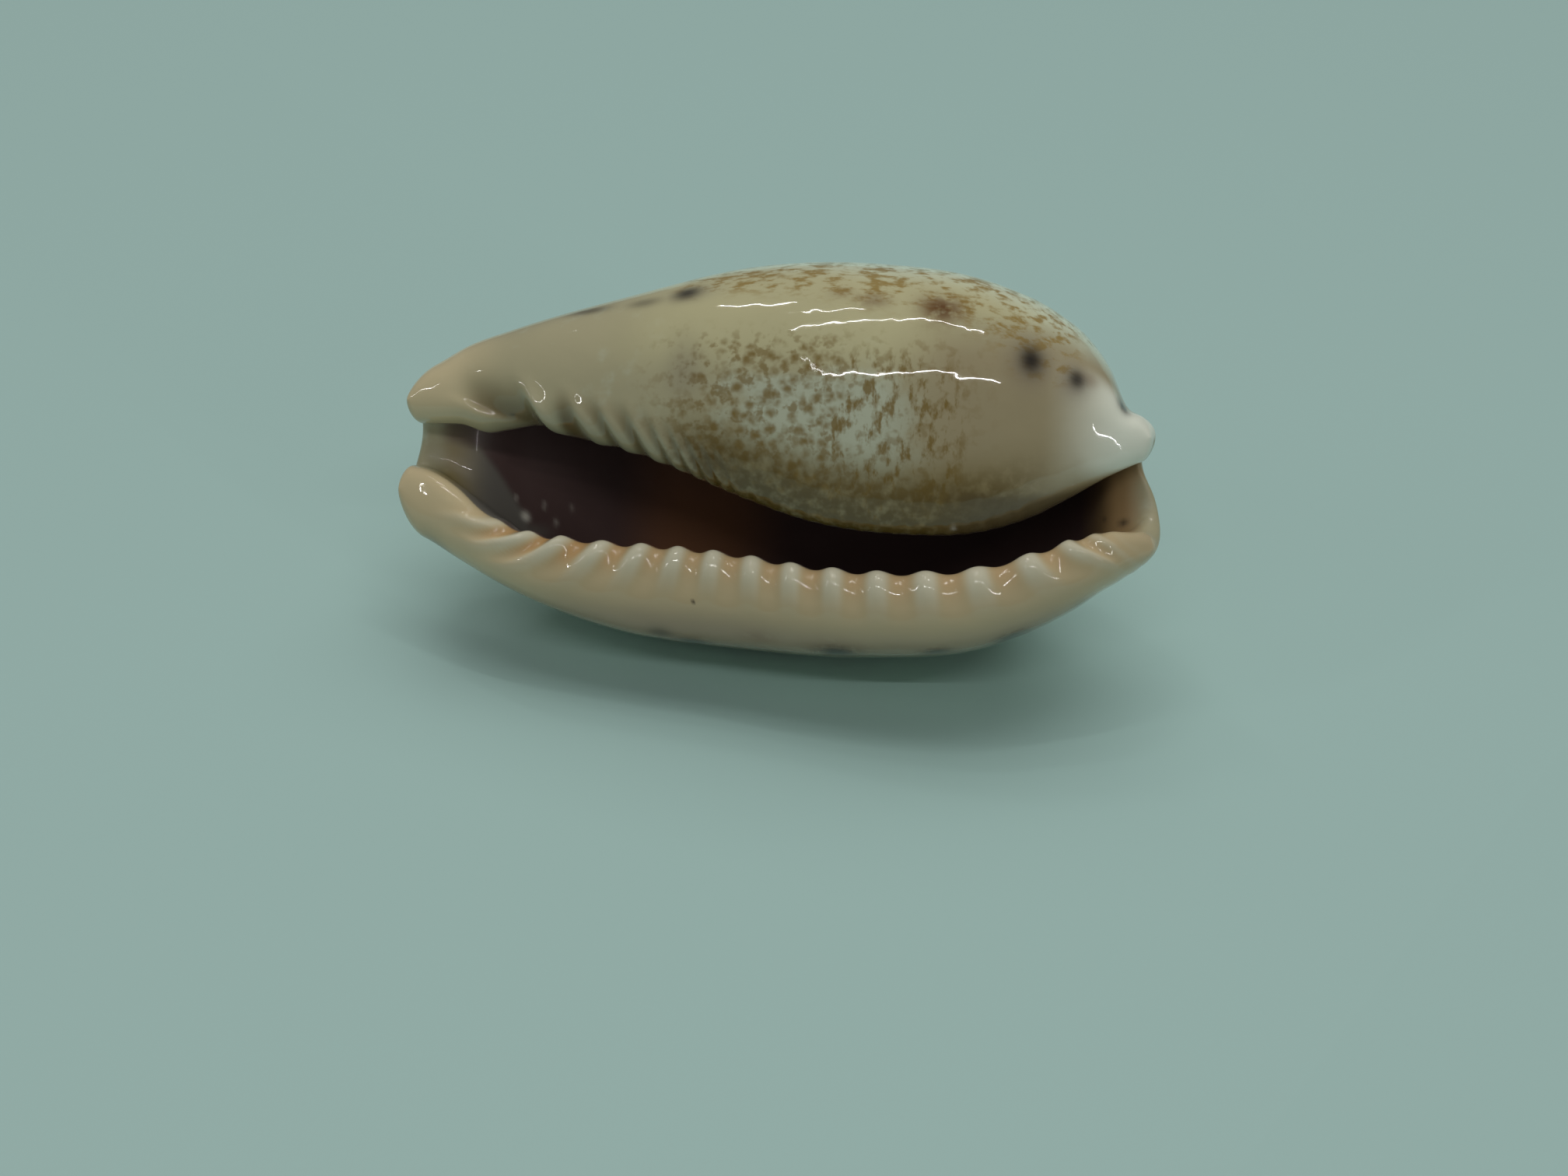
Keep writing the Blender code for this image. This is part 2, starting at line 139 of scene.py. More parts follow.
@dataclass
class ShellForm:
    """The shell's sections: sizes in millimetres, at the stations along its length."""

    length: float = 42.0
    stations: Values = (0, 1.2, 3, 5.5, 12, 19, 26, 33, 36, 38, 39.2, 40.2, 41.2, 42)
    lip_margin_u: Values = (4.45, 4.95, 6.05, 7.4, 9.7, 10.5, 10.7, 9.8, 8.5, 7.3, 6.4, 5.8, 5.4, 5.2)
    lip_margin_n: Values = (-1.9, -1.9, -2, -2.4, -3.5, -4.4, -4.8, -4.5, -4.1, -3.8, -3.8, -3.8, -3.9, -4)
    columella_margin_u: Values = (4.7, 5.2, 6.3, 7.3, 9.45, 11.3, 11.6, 10.4, 9.1, 7.6, 6, 3.8, 3.4, 3.3)
    columella_margin_n: Values = (
        -1.9, -1.9, -2, -2.4, -3.7, -4.7, -4.9, -4.2, -4.8, -5.8, -5.8, -3.9, -3.4, -3.4,
    )
    back_u: Values = (0.6, 0.6, 0.6, 0.6, 0.4, 0.2, 0, 0, 0.2, 0.3, 0.3, 0.2, 0.2, 0.3)
    back_depth: Values = (3.9, 4.1, 5, 8.5, 13.1, 15.6, 15.9, 13.9, 11.5, 8.9, 6.3, 5.7, 5.6, 5.4)
    lip_crest_n: Values = (-0.3, 0.1, 0.5, 0.8, 1, 1.1, 1.5, 1.2, 0.4, -0.1, -0.5, -1, -1.7, -2.5)
    columella_crest_u: Values = (3.1, 3.2, 3.2, 3.3, 3.3, 3.5, 3.6, 3.4, 3.1, 2.8, 2.5, 2.2, 2.1, 2.1)
    columella_crest_n: Values = (
        0.1, 0.3, 0.6, 1, 1.4, 2.4, 2.7, 1.5, 0.4, -0.3, -0.8, -1.2, -1.6, -1.9,
    )
    edge_stations: Values = (
        0, 1.2, 3, 4.4, 5.6, 7.4, 9.4, 12, 15, 19, 23, 28, 33, 35.2, 37.2, 39.4, 41, 42,
    )
    lip_edge_u: Values = (
        0.5, 0.8, 1.9, 3.1, 3.8, 4.45, 4.67, 4.87, 4.97, 5.27, 5.77, 5.97, 5.45, 4.75, 3.95, 3.2, 3.1, 3.1,
    )
    columella_edge_u: Values = (
        1.7, 1.7, 1.7, 1.3, 1.5, 1.8, 1.2, 0.7, -0.2, -1.8, -3.1, -3.7, -3.3, -2.5, -1.4, -0.1, 0.5, 0.85,
    )
    lip_wall_u: Values = (0.6, 0.8, 2.1, 4.1, 7.4, 8.2, 8.4, 7.6, 6.5, 5.4, 4.3, 3.4, 2.3, 1.2)
    columella_wall_u: Values = (1.9, 2, 2.6, 4.6, 7.8, 9.7, 10, 8.8, 7, 5.2, 3.6, 2, 1.5, 1.3)
    cavity_depth: Values = (2.6, 2.7, 3.3, 5.9, 11.7, 14.4, 14.7, 12.7, 10.1, 7.3, 5.1, 4.5, 4.2, 4)
    lip_underside_n: Values = (
        -1.9, -1.9, -1.9, -2.1, -2.3, -2.4, -2, -2.1, -2.5, -2.8, -3.1, -3.3, -3.6, -3.9,
    )
    columella_underside_n: Values = (
        -1.9, -1.9, -2.1, -2.8, -3.3, -3.2, -3, -3.4, -3.5, -3.4, -3.3, -3.4, -3.5, -3.5,
    )
    lip_crest_inset: float = 1.5
    lip_edge_drop: float = 0.9
    columella_edge_drop: float = 2.4
    lip_underside_inset: float = 0.9
    columella_underside_inset: float = 1.35
    crest_inset_share: float = 0.45
    lip_drop_share: float = 0.45
    columella_drop_share: float = 0.6
    underside_share: float = 0.4
    outside_steps: tuple[int, ...] = (32, 24, 24, 36)
    outside_roundness: Values = (2.5, 2.1, 2.1, 2.2)
    inside_steps: tuple[int, ...] = (16, 8, 8, 24, 24, 8, 8, 20)
    inside_roundness: float = 2.2
    front_rim: Values = (1.1, 1.1, 1.3, 1.4, 1.2)
    rear_rim: Values = (2.2, 2.5, 1.0, 1.6, 1.6)
    rim_places: Values = (0, 1, 2, 3, 4)
    inside_rim_share: float = 0.45
    shift_places: Values = (0, 0.35, 1, 1.7, 2.1, 3, 3.65, 4)
    front_shift: Values = (-0.48, -0.72, -0.62, -0.55, -0.1, -0.25, -0.27, 0.0)
    rear_shift: Values = (-0.4, -0.1, 0.25, 0.0, -1.2, -0.2, -0.45, -0.7)
    shift_reach: float = 4.0

    def at(self, values: Values, x: float) -> float:
        """The value stated at the stations, read at x."""
        return smooth_curve(self.stations, values, x)

    def lip_edge(self, x: float) -> float:
        """How far the outer lip's edge stands from the middle line at x."""
        return smooth_curve(self.edge_stations, self.lip_edge_u, x)

    def columella_edge(self, x: float) -> float:
        """The u of the columella's edge at x."""
        return smooth_curve(self.edge_stations, self.columella_edge_u, x)

    def places(self) -> Row:
        """Where each point of a row stands, from 0 at the lip's crest to 4 at the columella's."""
        stretches = [i + np.arange(steps) / steps for i, steps in enumerate(self.outside_steps)]
        return np.concatenate([*stretches, [len(self.outside_steps)]])

    def edge_places(self) -> Pair:
        """Where the inside row turns over the slit's two edges.

        Returns:
            The place of the lip's edge and that of the columella's edge, from 0 to 4.
        """
        return (
            self.inside_steps[0] / self.outside_steps[0],
            len(self.outside_steps) - self.inside_steps[-1] / self.outside_steps[-1],
        )

    def rows(self, x: float) -> tuple[Row, Row]:
        """The section at x, before teeth and rims.

        Args:
            x: millimetres from the front end.

        Returns:
            The outside row and the inside row of (u, n) points, from the lip's crest to the columella's.
        """
        lip_edge = self.lip_edge(x)
        columella_edge = self.columella_edge(x)
        inset = min(self.lip_crest_inset, self.crest_inset_share * (self.at(self.lip_margin_u, x) - lip_edge))
        lip_crest = (-lip_edge - inset, self.at(self.lip_crest_n, x))
        columella_crest = (self.at(self.columella_crest_u, x), self.at(self.columella_crest_n, x))
        lip_under = self.at(self.lip_underside_n, x)
        columella_under = self.at(self.columella_underside_n, x)
        lip_drop = min(self.lip_edge_drop, self.lip_drop_share * (lip_crest[1] - lip_under))
        columella_drop = min(
            self.columella_edge_drop, self.columella_drop_share * (columella_crest[1] - columella_under)
        )
        lip_wall = -self.at(self.lip_wall_u, x)
        columella_wall = self.at(self.columella_wall_u, x)
        lip_in = min(self.lip_underside_inset, self.underside_share * (-lip_edge - lip_wall))
        columella_in = min(
            self.columella_underside_inset, self.underside_share * (columella_wall - columella_edge)
        )
        back_u = self.at(self.back_u, x)
        back_inside = -self.at(self.cavity_depth, x)
        outside_keys = (
            lip_crest,
            (-self.at(self.lip_margin_u, x), self.at(self.lip_margin_n, x)),
            (back_u, -self.at(self.back_depth, x)),
            (self.at(self.columella_margin_u, x), self.at(self.columella_margin_n, x)),
            columella_crest,
        )
        inside_keys = (
            lip_crest,
            (-lip_edge, lip_crest[1] - lip_drop),
            (-lip_edge - lip_in, lip_under),
            (lip_wall, (lip_under + back_inside) / 2),
            (back_u, back_inside),
            (columella_wall, (columella_under + back_inside) / 2),
            (columella_edge + columella_in, columella_under),
            (columella_edge, columella_crest[1] - columella_drop),
            columella_crest,
        )
        outside = [
            quarter_arc(outside_keys[i], outside_keys[i + 1], steps, self.outside_roundness[i], i % 2 == 0)
            for i, steps in enumerate(self.outside_steps)
        ]
        inside = [
            quarter_arc(inside_keys[i], inside_keys[i + 1], steps, self.inside_roundness, i % 2 == 0)
            for i, steps in enumerate(self.inside_steps)
        ]
        end = [np.array([columella_crest])]
        return np.concatenate(outside + end), np.concatenate(inside + end)

    def round_the_ring(self, stops: Values, values: Values, place: Row) -> Row:
        """Values stated at stops round a ring, read smoothly between them.

        Args:
            stops: the places where the values are stated, from 0 to 4.
            values: one value for each stop.
            place: the places where they are read.

        Returns:
            A value for each place.
        """
        at = np.asarray(stops, float)
        stated = np.asarray(values, float)
        i = np.clip(np.searchsorted(at, place, side="right") - 1, 0, len(at) - 2)
        t = (place - at[i]) / (at[i + 1] - at[i])
        return stated[i] + (stated[i + 1] - stated[i]) * t * t * (3 - 2 * t)

    def fullness(self, x: float, place: Row, side: Side) -> Row:
        """Share of the wall's thickness at x: it rounds off to nothing at each end of the shell.

        Args:
            x: millimetres from the front end.
            place: places round the ring, from 0 to 4.
            side: the skin that is asked about.

        Returns:
            A share from 0 to 1 for each place.
        """
        share = self.inside_rim_share if side is Side.INSIDE else 1.0
        front = x / (share * self.round_the_ring(self.rim_places, self.front_rim, place))
        rear = (self.length - x) / (share * self.round_the_ring(self.rim_places, self.rear_rim, place))
        return np.sqrt(1 - (1 - np.minimum(np.minimum(front, rear), 1.0)) ** 2)


@dataclass
class LipTeeth:
    """The ridged teeth of the outer lip."""

    places: Values = (
        5.5, 7.5, 9.3, 11.7, 13.9, 16, 18, 20.2, 22.4, 24.7, 27.1, 29.7, 32.4, 35.1, 37.2, 38.6, 39.7,
    )
    height: float = 0.5
    leans: Values = (
        -1.45, -1.2, -0.85, -0.62, -0.38, -0.2, -0.1, -0.03, 0, 0.02, 0.06, 0.12, 0.25, 0.45, 0.75, 1.1, 1.3,
    )
    sharpness: float = 1.15
    flattens: Pair = (0.5, 3.2)
    front_fade: Pair = (-1.5, 1.6)
    rear_fade: Pair = (-3.4, 0.6)
    towards_gap: float = 0.55
    outwards: float = 0.66

    def wave(self, x: float, across: Row) -> tuple[Row, Row]:
        """The teeth's wave and how much of it stands, for points across millimetres in from the lip's edge.

        Args:
            x: millimetres from the front end.
            across: how far each point stands outward from the lip's edge.

        Returns:
            The wave, 1 on each ridge and 0 in each hollow, and its strength, both 0 to 1.
        """
        lean = np.interp(x, self.places, self.leans)
        ridge_x = x - lean * across
        before = 2 * self.places[0] - self.places[1]
        after = 2 * self.places[-1] - self.places[-2]
        phase = np.interp(ridge_x, (before, *self.places, after), range(-1, len(self.places) + 1))
        wave = (0.5 + 0.5 * np.cos(2 * math.pi * phase)) ** self.sharpness
        starts = fade(self.places[0] - ridge_x, *self.front_fade)
        stops = fade(ridge_x - self.places[-1], *self.rear_fade)
        return wave, starts * stops * fade(np.abs(across), *self.flattens)


@dataclass
class ColumellaFolds:
    """The strong folds at the front of the columella, and the fine ones along the rest of its edge."""

    places: Values = (8.4, 11.05, 12.75, 14.45, 15.75, 16.8, 17.7, 18.55, 19.4)
    heights: Values = (0.48, 0.42, 0.41, 0.37, 0.31, 0.25, 0.19, 0.13, 0.09)
    widths: Values = (1.1, 1.15, 1.05, 1.0, 0.85, 0.72, 0.66, 0.6, 0.6)
    lean: float = 0.55
    front_flank: float = 0.78
    rear_flank: float = 1.2
    flattens: Pair = (0.3, 3.0)
    towards_gap: float = 0.35
    outwards: float = 0.85
    fine_pitch: float = 0.95
    fine_height: float = 0.05
    fine_start: float = 19.4
    fine_end: float = 37.0
    fine_fades: Pair = (1.5, 2.0)
    fine_sharpness: float = 1.5
    fine_flattens: Pair = (0.25, 1.1)
    fine_stops: Pair = (3.5, 3.4)
    hollow_x: Values = (2.4, 3.6, 4.35, 5.8, 7.2)
    hollow_u: Values = (3.6, 3.2, 2.85, 2.35, 2.05)
    hollow_depth: float = 0.46
    hollow_above: float = 1.25
    hollow_below: float = 0.45
    hollow_starts: Pair = (5.6, 1.8)
    hollow_before_fold: Pair = (-0.9, -0.1)
    first_fold_u: float = 1.7
    hollow_stops: Pair = (3.46, 3.42)

    def height(self, x: float, across: Row) -> Row:
        """How far the folds stand out at x.

        Args:
            x: millimetres from the front end.
            across: how far each point stands in from the columella's edge.

        Returns:
            A height in millimetres for each point.
        """
        ridge_x = x + self.lean * across
        total = np.zeros(np.shape(across))
        for place, height, width in zip(self.places, self.heights, self.widths):
            past = ridge_x - place
            flank = width * np.where(past < 0, self.front_flank, self.rear_flank)
            total = total + height * np.exp(-((2 * past / flank) ** 2))
        return total * fade(np.abs(across), *self.flattens)

    def fine(self, x: float, across: Row) -> Row:
        """How far the fine teeth along the rest of the columella's edge stand out.

        Args:
            x: millimetres from the front end.
            across: how far each point stands in from the columella's edge.

        Returns:
            A height in millimetres for each point.
        """
        wave = 0.5 + 0.5 * math.cos(2 * math.pi * (x - self.fine_start) / self.fine_pitch)
        start = fade(x, self.fine_start, self.fine_start - self.fine_fades[0])
        end = fade(x, self.fine_end - self.fine_fades[1], self.fine_end)
        height = self.fine_height * wave**self.fine_sharpness * float(start * end)
        return height * fade(np.abs(across), *self.fine_flattens)

    def hollow(self, x: float, u: Row) -> Row:
        """How deep the hollow before the first fold is.

        Args:
            x: millimetres from the front end.
            u: the points' places across the shell.

        Returns:
            A depth in millimetres for each point.
        """
        above = u - np.interp(x, self.hollow_x, self.hollow_u)
        reach = np.where(above > 0, self.hollow_above, self.hollow_below)
        depth = self.hollow_depth * np.exp(-((above / reach) ** 2)) * float(fade(x, *self.hollow_starts))
        first_fold = self.places[0] - self.lean * (u - self.first_fold_u)
        return depth * fade(x - first_fold, *self.hollow_before_fold)


@dataclass(frozen=True)
class Spot:
    """One soft-edged marking, placed in the shell's own frame, in millimetres."""

    x: float
    u: float
    n: float
    reach_along: float
    reach_across: float
    strength: float = 1.0
    lean: float = 0.0
    edge: float = 2.4

    def weight(self, x: Row, u: Row, n: Row) -> Row:
        """How strongly the marking shows.

        Args:
            x: the points' places along the shell.
            u: their places across it.
            n: their places out of its base.

        Returns:
            A weight for each point, from 0 to the marking's strength.
        """
        along = x - self.x
        rise = n - self.n + self.lean * along
        across = np.sqrt((u - self.u) ** 2 + rise**2)
        distance = np.sqrt((along / self.reach_along) ** 2 + (across / self.reach_across) ** 2)
        return self.strength * np.exp(-(distance**self.edge))


@dataclass(frozen=True)
class Zone:
    """A soft-edged area of one part of the shell.

    Each limit says what is read at a point, where the weight is 1 and where it is 0. In millimetres, x, u and
    n are own-frame places, beyond is how far a point lies past the row of margin spots, past_edge how far it
    lies in from the columella's edge, across_lip how far from the lip's, past_rim how far past the line where
    the brown rim begins, and the front canal's read how far a point lies past the edge of the painted shadow
    there, where the lit grey wall gives way to dark maroon. The wave is that of the lip's teeth, 1 on each
    ridge, and fold is a fold's height.
    """

    part: str
    limits: tuple[tuple[str, float, float], ...] = ()
    strength: float = 1.0

    def weight(self, reads: dict[str, Row]) -> Row:
        """How strongly the area shows.

        Args:
            reads: what the limits read, and 1 or 0 for each part of the shell.

        Returns:
            A weight for each point, from 0 to the area's strength.
        """
        weight = reads[self.part] * self.strength
        for name, full, gone in self.limits:
            weight = weight * fade(reads[name], full, gone)
        return weight


SHORT_OF_ENDS = (("x", 6.5, 3.5), ("x", 38.8, 40.3))
ZONES: dict[str, tuple[Zone, ...]] = {
    "middle": (Zone("base", (("x", 22.5, 15.0), ("x", 26.5, 31.5), ("u", 3.4, 6.0))),),
    "shoulder_cream": (Zone("shoulder", (("u", 6.6, 3.8), ("x", 16.5, 9.5)), 0.8),),
    "lip_cream": (Zone("lip", (("across_lip", 3.4, 5.2),)),),
    # The lip's outer band: beige, made darker as painted shade of the shadow beneath it.
    "low_lip_beige_and_shade": (Zone("lip_outside", (("across_lip", 4.4, 2.4), ("x", 7.0, 3.0), ("x", 36.0, 39.5))),),
    "front_cream": (Zone("base", (("x", 1.5, 6.5),), 0.75), Zone("lip", (("x", 4.0, 10.0),), 0.6)),
    "rear_beige": (Zone("base", (("x", 31.5, 26.5), ("u", 5.5, 8.5)), 0.9),),
    "rear_white": (Zone("base", (("x", 40.3, 35.4), ("beyond", -0.4, 0.6))),),
    "back_ground": (
        Zone("columella_outside", (("beyond", 3.0, 0.2), *SHORT_OF_ENDS)),
        Zone("lip_outside", (("beyond", 0.8, 0.0), *SHORT_OF_ENDS)),
    ),
    "speckled": (
        Zone("columella_outside", (("beyond", 3.2, 0.8), *SHORT_OF_ENDS)),
        Zone("lip_outside", (("beyond", 1.0, 0.1), *SHORT_OF_ENDS)),
    ),
    "base_speckles": (Zone("base", (("x", 18.5, 13.0), ("x", 24.0, 27.0), ("u", 5.4, 8.2)), 0.33),),
    "base_long": (Zone("base", (("x", 26.0, 22.5), ("x", 28.5, 33.5), ("u", 3.6, 7.4)), 0.57),),
    "mottle": (Zone("base", (("x", 17.0, 12.0), ("x", 29.0, 34.5), ("u", 5.5, 8.0))),),
    "shoulder_streaks": (
        Zone(
            "base",
            (
                ("x", 17.0, 13.5),
                ("x", 36.0, 38.6),
                ("beyond", 0.3, -1.5),
                ("beyond", 2.0, 4.0),
                ("u", 5.0, 4.0),
            ),
            0.4,
        ),
    ),
    "ochre": (Zone("base", (("past_edge", 1.2, 4.0), ("x", 18.5, 14.5), ("x", 32.5, 37.0)), 0.95),),
    "ochre_ground": (Zone("base", (("past_edge", 2.0, 5.0), ("x", 20.0, 15.0), ("x", 31.5, 37.0)), 0.85),),
    "margin_line": (
        Zone(
            "lip_outside",
            (("x", 4.0, 1.5), ("x", 24.0, 32.0), ("beyond", 0.1, -0.7), ("beyond", 0.2, 0.9)),
            0.65,
        ),
    ),
    # Grey band along the lip's lower margin: partly its own colour, partly painted shade.
    "margin_grey_and_shade": (
        Zone(
            "lip_outside",
            (("x", 4.0, 1.5), ("x", 37.5, 39.5), ("n", -2.6, -0.4), ("beyond", -0.1, 0.7)),
            0.3,
        ),
    ),
    # Grooves between the folds and the hollow before the first one: their brown plus painted shade.
    "fold_area": (Zone("base", (("past_edge", 0.6, 2.8), ("x", 9.4, 8.6), ("x", 17.0, 20.0))),),
    "first_hollow": (Zone("dented", (("x", 4.4, 2.6),), 0.72),),
    "edge_brown": (Zone("base", (("past_rim", -0.3, 0.35), ("x", 33.0, 29.0), ("x", 38.4, 39.4)), 0.8),),
    "tooth_white": (
        Zone("tooth", (("wave", 0.9, 0.3), ("across_lip", 0.8, 4.2)), 0.8),
        Zone("columella", (("fold", 0.3, 0.08),), 0.12),
    ),
    "hollow_tan": (
        Zone("tooth", (("wave", 0.05, 0.5), ("across_lip", 0.3, 2.2)), 0.333),
        Zone("tooth", (("wave", 0.05, 0.5), ("across_lip", 0.3, 2.2), ("x", 9.0, 16.0)), 0.407),
    ),
    "back_blotch": (Zone("blotched", (("beyond", 0.9, 0.0),)),),
    "warm_inside": (Zone("all", (("x", 13.5, 9.5), ("x", 15.5, 20.5)), 0.8),),
    "inside": (Zone("interior", (("x", 1.9, 0.7), ("x", 40.1, 41.6))),),
    "dull": (Zone("interior"),),
    # Painted shadow: the front canal's wall is grey only where lit; past the shadow's edge it stays dark
    # maroon.
    "lit_front_canal": (Zone("all", (("into_canal_shadow", -0.45, 0.35), ("x", 5.6, 7.4))),),
    # The front rim's tan drops to 0.4 past the edge of that painted shadow.
    "front_wall": (
        Zone("all", (("x", 1.6, 4.0),), 0.4),
        Zone("all", (("x", 1.6, 4.0), ("into_canal_shadow", -0.45, 0.35)), 0.6),
    ),
    "rear_canal": (Zone("all", (("x", 39.3, 37.6),)),),
}


@dataclass
class Markings:
    """Where the shell's markings lie: margin spots, the blotches of the front end, and the brown patches."""

    dark: tuple[Spot, ...] = (
        Spot(15.8, 9.3, -0.4, 0.85, 0.62, 0.9),
        Spot(13.4, 8.7, -0.6, 1.1, 0.45, 0.5),
        Spot(10.3, 8.2, -1.1, 1.5, 0.42, 0.7),
        Spot(30.05, 8.4, 0.9, 0.6, 0.5, 0.16),
        Spot(34.95, 5.85, 0.45, 0.66, 0.76, 0.97),
        Spot(37.4, 4.95, -0.4, 0.5, 0.56, 0.88),
        Spot(39.95, 3.75, -2.0, 0.42, 0.6, 0.97),
        Spot(2.6, -5.8, -2.25, 2.1, 1.35, 0.95, 0.75),
        Spot(14.5, -10.0, -2.5, 0.8, 0.8, 0.95),
        Spot(16.5, -10.1, -1.9, 0.95, 0.7, 1.0),
        Spot(14.9, -9.3, -0.9, 0.8, 0.7, 0.7),
        Spot(24.8, -10.2, -1.1, 0.85, 0.85, 1.0),
        Spot(30.3, -10.0, -1.2, 0.6, 0.6, 0.8),
        Spot(34.3, -9.1, -2.1, 0.85, 0.95, 1.0),
        Spot(38.0, -7.1, -2.1, 0.7, 0.7, 0.35),
        Spot(38.2, -7.1, -3.6, 0.7, 0.6, 0.4),
        Spot(39.4, 0.3, -6.4, 0.8, 2.2, 0.8),
        Spot(17.0, -7.8, 0.9, 0.085, 0.085, 0.95, 0.0, 6.0),
    )
    lilac: tuple[Spot, ...] = (
        Spot(34.95, 5.7, 0.6, 1.25, 1.35, 0.55),
        Spot(37.3, 4.8, -0.2, 1.05, 1.1, 0.5),
        Spot(16.2, 5.2, 2.0, 1.1, 1.7, 0.32),
        Spot(16.0, 9.2, -0.3, 1.7, 0.75, 0.4),
    )
    brown: tuple[Spot, ...] = (
        Spot(26.3, 8.8, 1.0, 1.0, 0.6, 0.6),
        Spot(24.6, 9.0, 0.6, 0.9, 0.5, 0.5),
        Spot(30.05, 8.45, 0.85, 1.25, 0.95, 1.0),
        Spot(29.9, 7.6, 1.5, 1.1, 0.7, 0.2),
        Spot(38.0, 4.9, -0.9, 0.6, 0.5, 0.4),
        Spot(5.9, -7.5, -2.2, 1.5, 1.25, 1.0, 0.2),
        Spot(8.9, -8.7, -1.4, 0.6, 0.5, 0.55),
        Spot(12.5, -9.7, -2.0, 0.7, 0.45, 0.7),
        Spot(14.5, -10.0, -2.5, 1.2, 1.2, 0.7),
        Spot(16.5, -10.1, -1.9, 1.4, 1.2, 0.7),
        Spot(20.6, -9.5, -0.2, 1.1, 0.6, 0.3),
        Spot(24.8, -10.2, -1.1, 1.6, 1.3, 0.8),
        Spot(20.5, -10.2, -2.0, 5.5, 0.8, 0.45),
        Spot(30.3, -10.0, -1.2, 1.0, 0.9, 0.8),
        Spot(34.3, -9.1, -2.1, 1.3, 1.4, 0.8),
    )
    back_blotch: tuple[Spot, ...] = (
        Spot(20.2, -9.0, -9.2, 7.5, 2.6, 0.95, 0.12),
        Spot(26.5, -8.5, -10.6, 5.5, 2.0, 0.6, 0.2),
        Spot(31.0, -9.4, -8.6, 1.8, 1.5, 0.55),
        Spot(17.0, 3.0, -15.0, 8.0, 3.5, 0.55),
    )
    light_grains: tuple[Spot, ...] = (
        Spot(5.55, -3.32, -5.18, 0.34, 0.3, 0.95),
        Spot(6.34, -2.62, -6.32, 0.16, 0.16, 0.5),
        Spot(7.65, -2.77, -7.64, 0.18, 0.14, 0.4),
        Spot(6.99, -3.6, -6.66, 0.15, 0.22, 0.35),
        Spot(5.0, -2.24, -5.0, 0.12, 0.16, 0.45),
        Spot(31.1, -3.25, 0.48, 0.16, 0.13, 0.7),
    )
    dark_grains: tuple[Spot, ...] = (
        Spot(40.15, -2.64, -4.31, 0.3, 0.22, 0.8),
        Spot(39.1, -2.44, -5.04, 0.18, 0.18, 0.5),
        Spot(5.2, 2.55, 0.2, 0.35, 0.12, 0.55),
        Spot(6.2, 2.3, 0.2, 0.22, 0.1, 0.6),
        Spot(6.9, 2.0, 0.3, 0.3, 0.1, 0.5),
        Spot(10.3, 1.9, 0.6, 0.22, 0.1, 0.45),
        Spot(12.1, 1.5, 0.6, 0.16, 0.1, 0.45),
    )
    columella_row_x: Values = (0, 8, 10.3, 13.5, 16, 21, 26.2, 30.1, 35, 37.5, 39.7, 42)
    columella_row_n: Values = (-2.2, -1.4, -1.2, -0.9, -0.7, 0.1, 0.7, 0.5, 0.2, -0.5, -2.0, -4.0)
    lip_row_x: Values = (0, 4, 8.9, 12.5, 16.5, 21.7, 24.8, 31, 34.3, 38, 42)
    lip_row_n: Values = (-3.0, -1.9, -1.8, -2.4, -2.5, -2.2, -1.9, -2.2, -2.6, -3.4, -5.0)
    inside_edge: Pair = (0.02, 0.06)
    rim_x: Values = (31.0, 34.0, 36.0, 38.0, 39.2)
    rim_from_edge: Values = (2.4, 1.5, 0.75, 0.2, -0.2)
    # The edge of the painted shadow that the columella's overhang casts in the front canal: its u at each x.
    canal_shadow_x: Values = (1.1, 3.2, 4.0, 4.8, 5.8)
    canal_shadow_u: Values = (1.0, 0.5, -0.6, -2.0, -3.8)
    shoulder_stops_x: Pair = (29.0, 35.0)
    shoulder_stops_u: Pair = (8.6, 7.0)
    # Fold height above which the grooves' brown and painted shade are at their least.
    plain_fold: float = 0.2
    groove_least: float = 0.16
    groove_more: float = 0.7
    speckle_sizes: Pair = (0.36, 0.16)
    dust_sizes: Pair = (0.26, 0.10)

    def total(self, spots: tuple[Spot, ...], x: Row, u: Row, n: Row) -> Row:
        """The strongest of the spots at each point."""
        return np.max([spot.weight(x, u, n) for spot in spots], axis=0)

    def beyond_margin(self, x: Row, n: Row, place: Row) -> Row:
        """How far each point lies past the row of margin spots, towards the back, in millimetres.

        Args:
            x: the points' places along the shell.
            n: their places out of its base.
            place: their places round its ring, from 0 to 4.

        Returns:
            A distance for each point.
        """
        columella = np.interp(x, self.columella_row_x, self.columella_row_n)
        lip = np.interp(x, self.lip_row_x, self.lip_row_n)
        return np.where(place > 2, columella, lip) - n


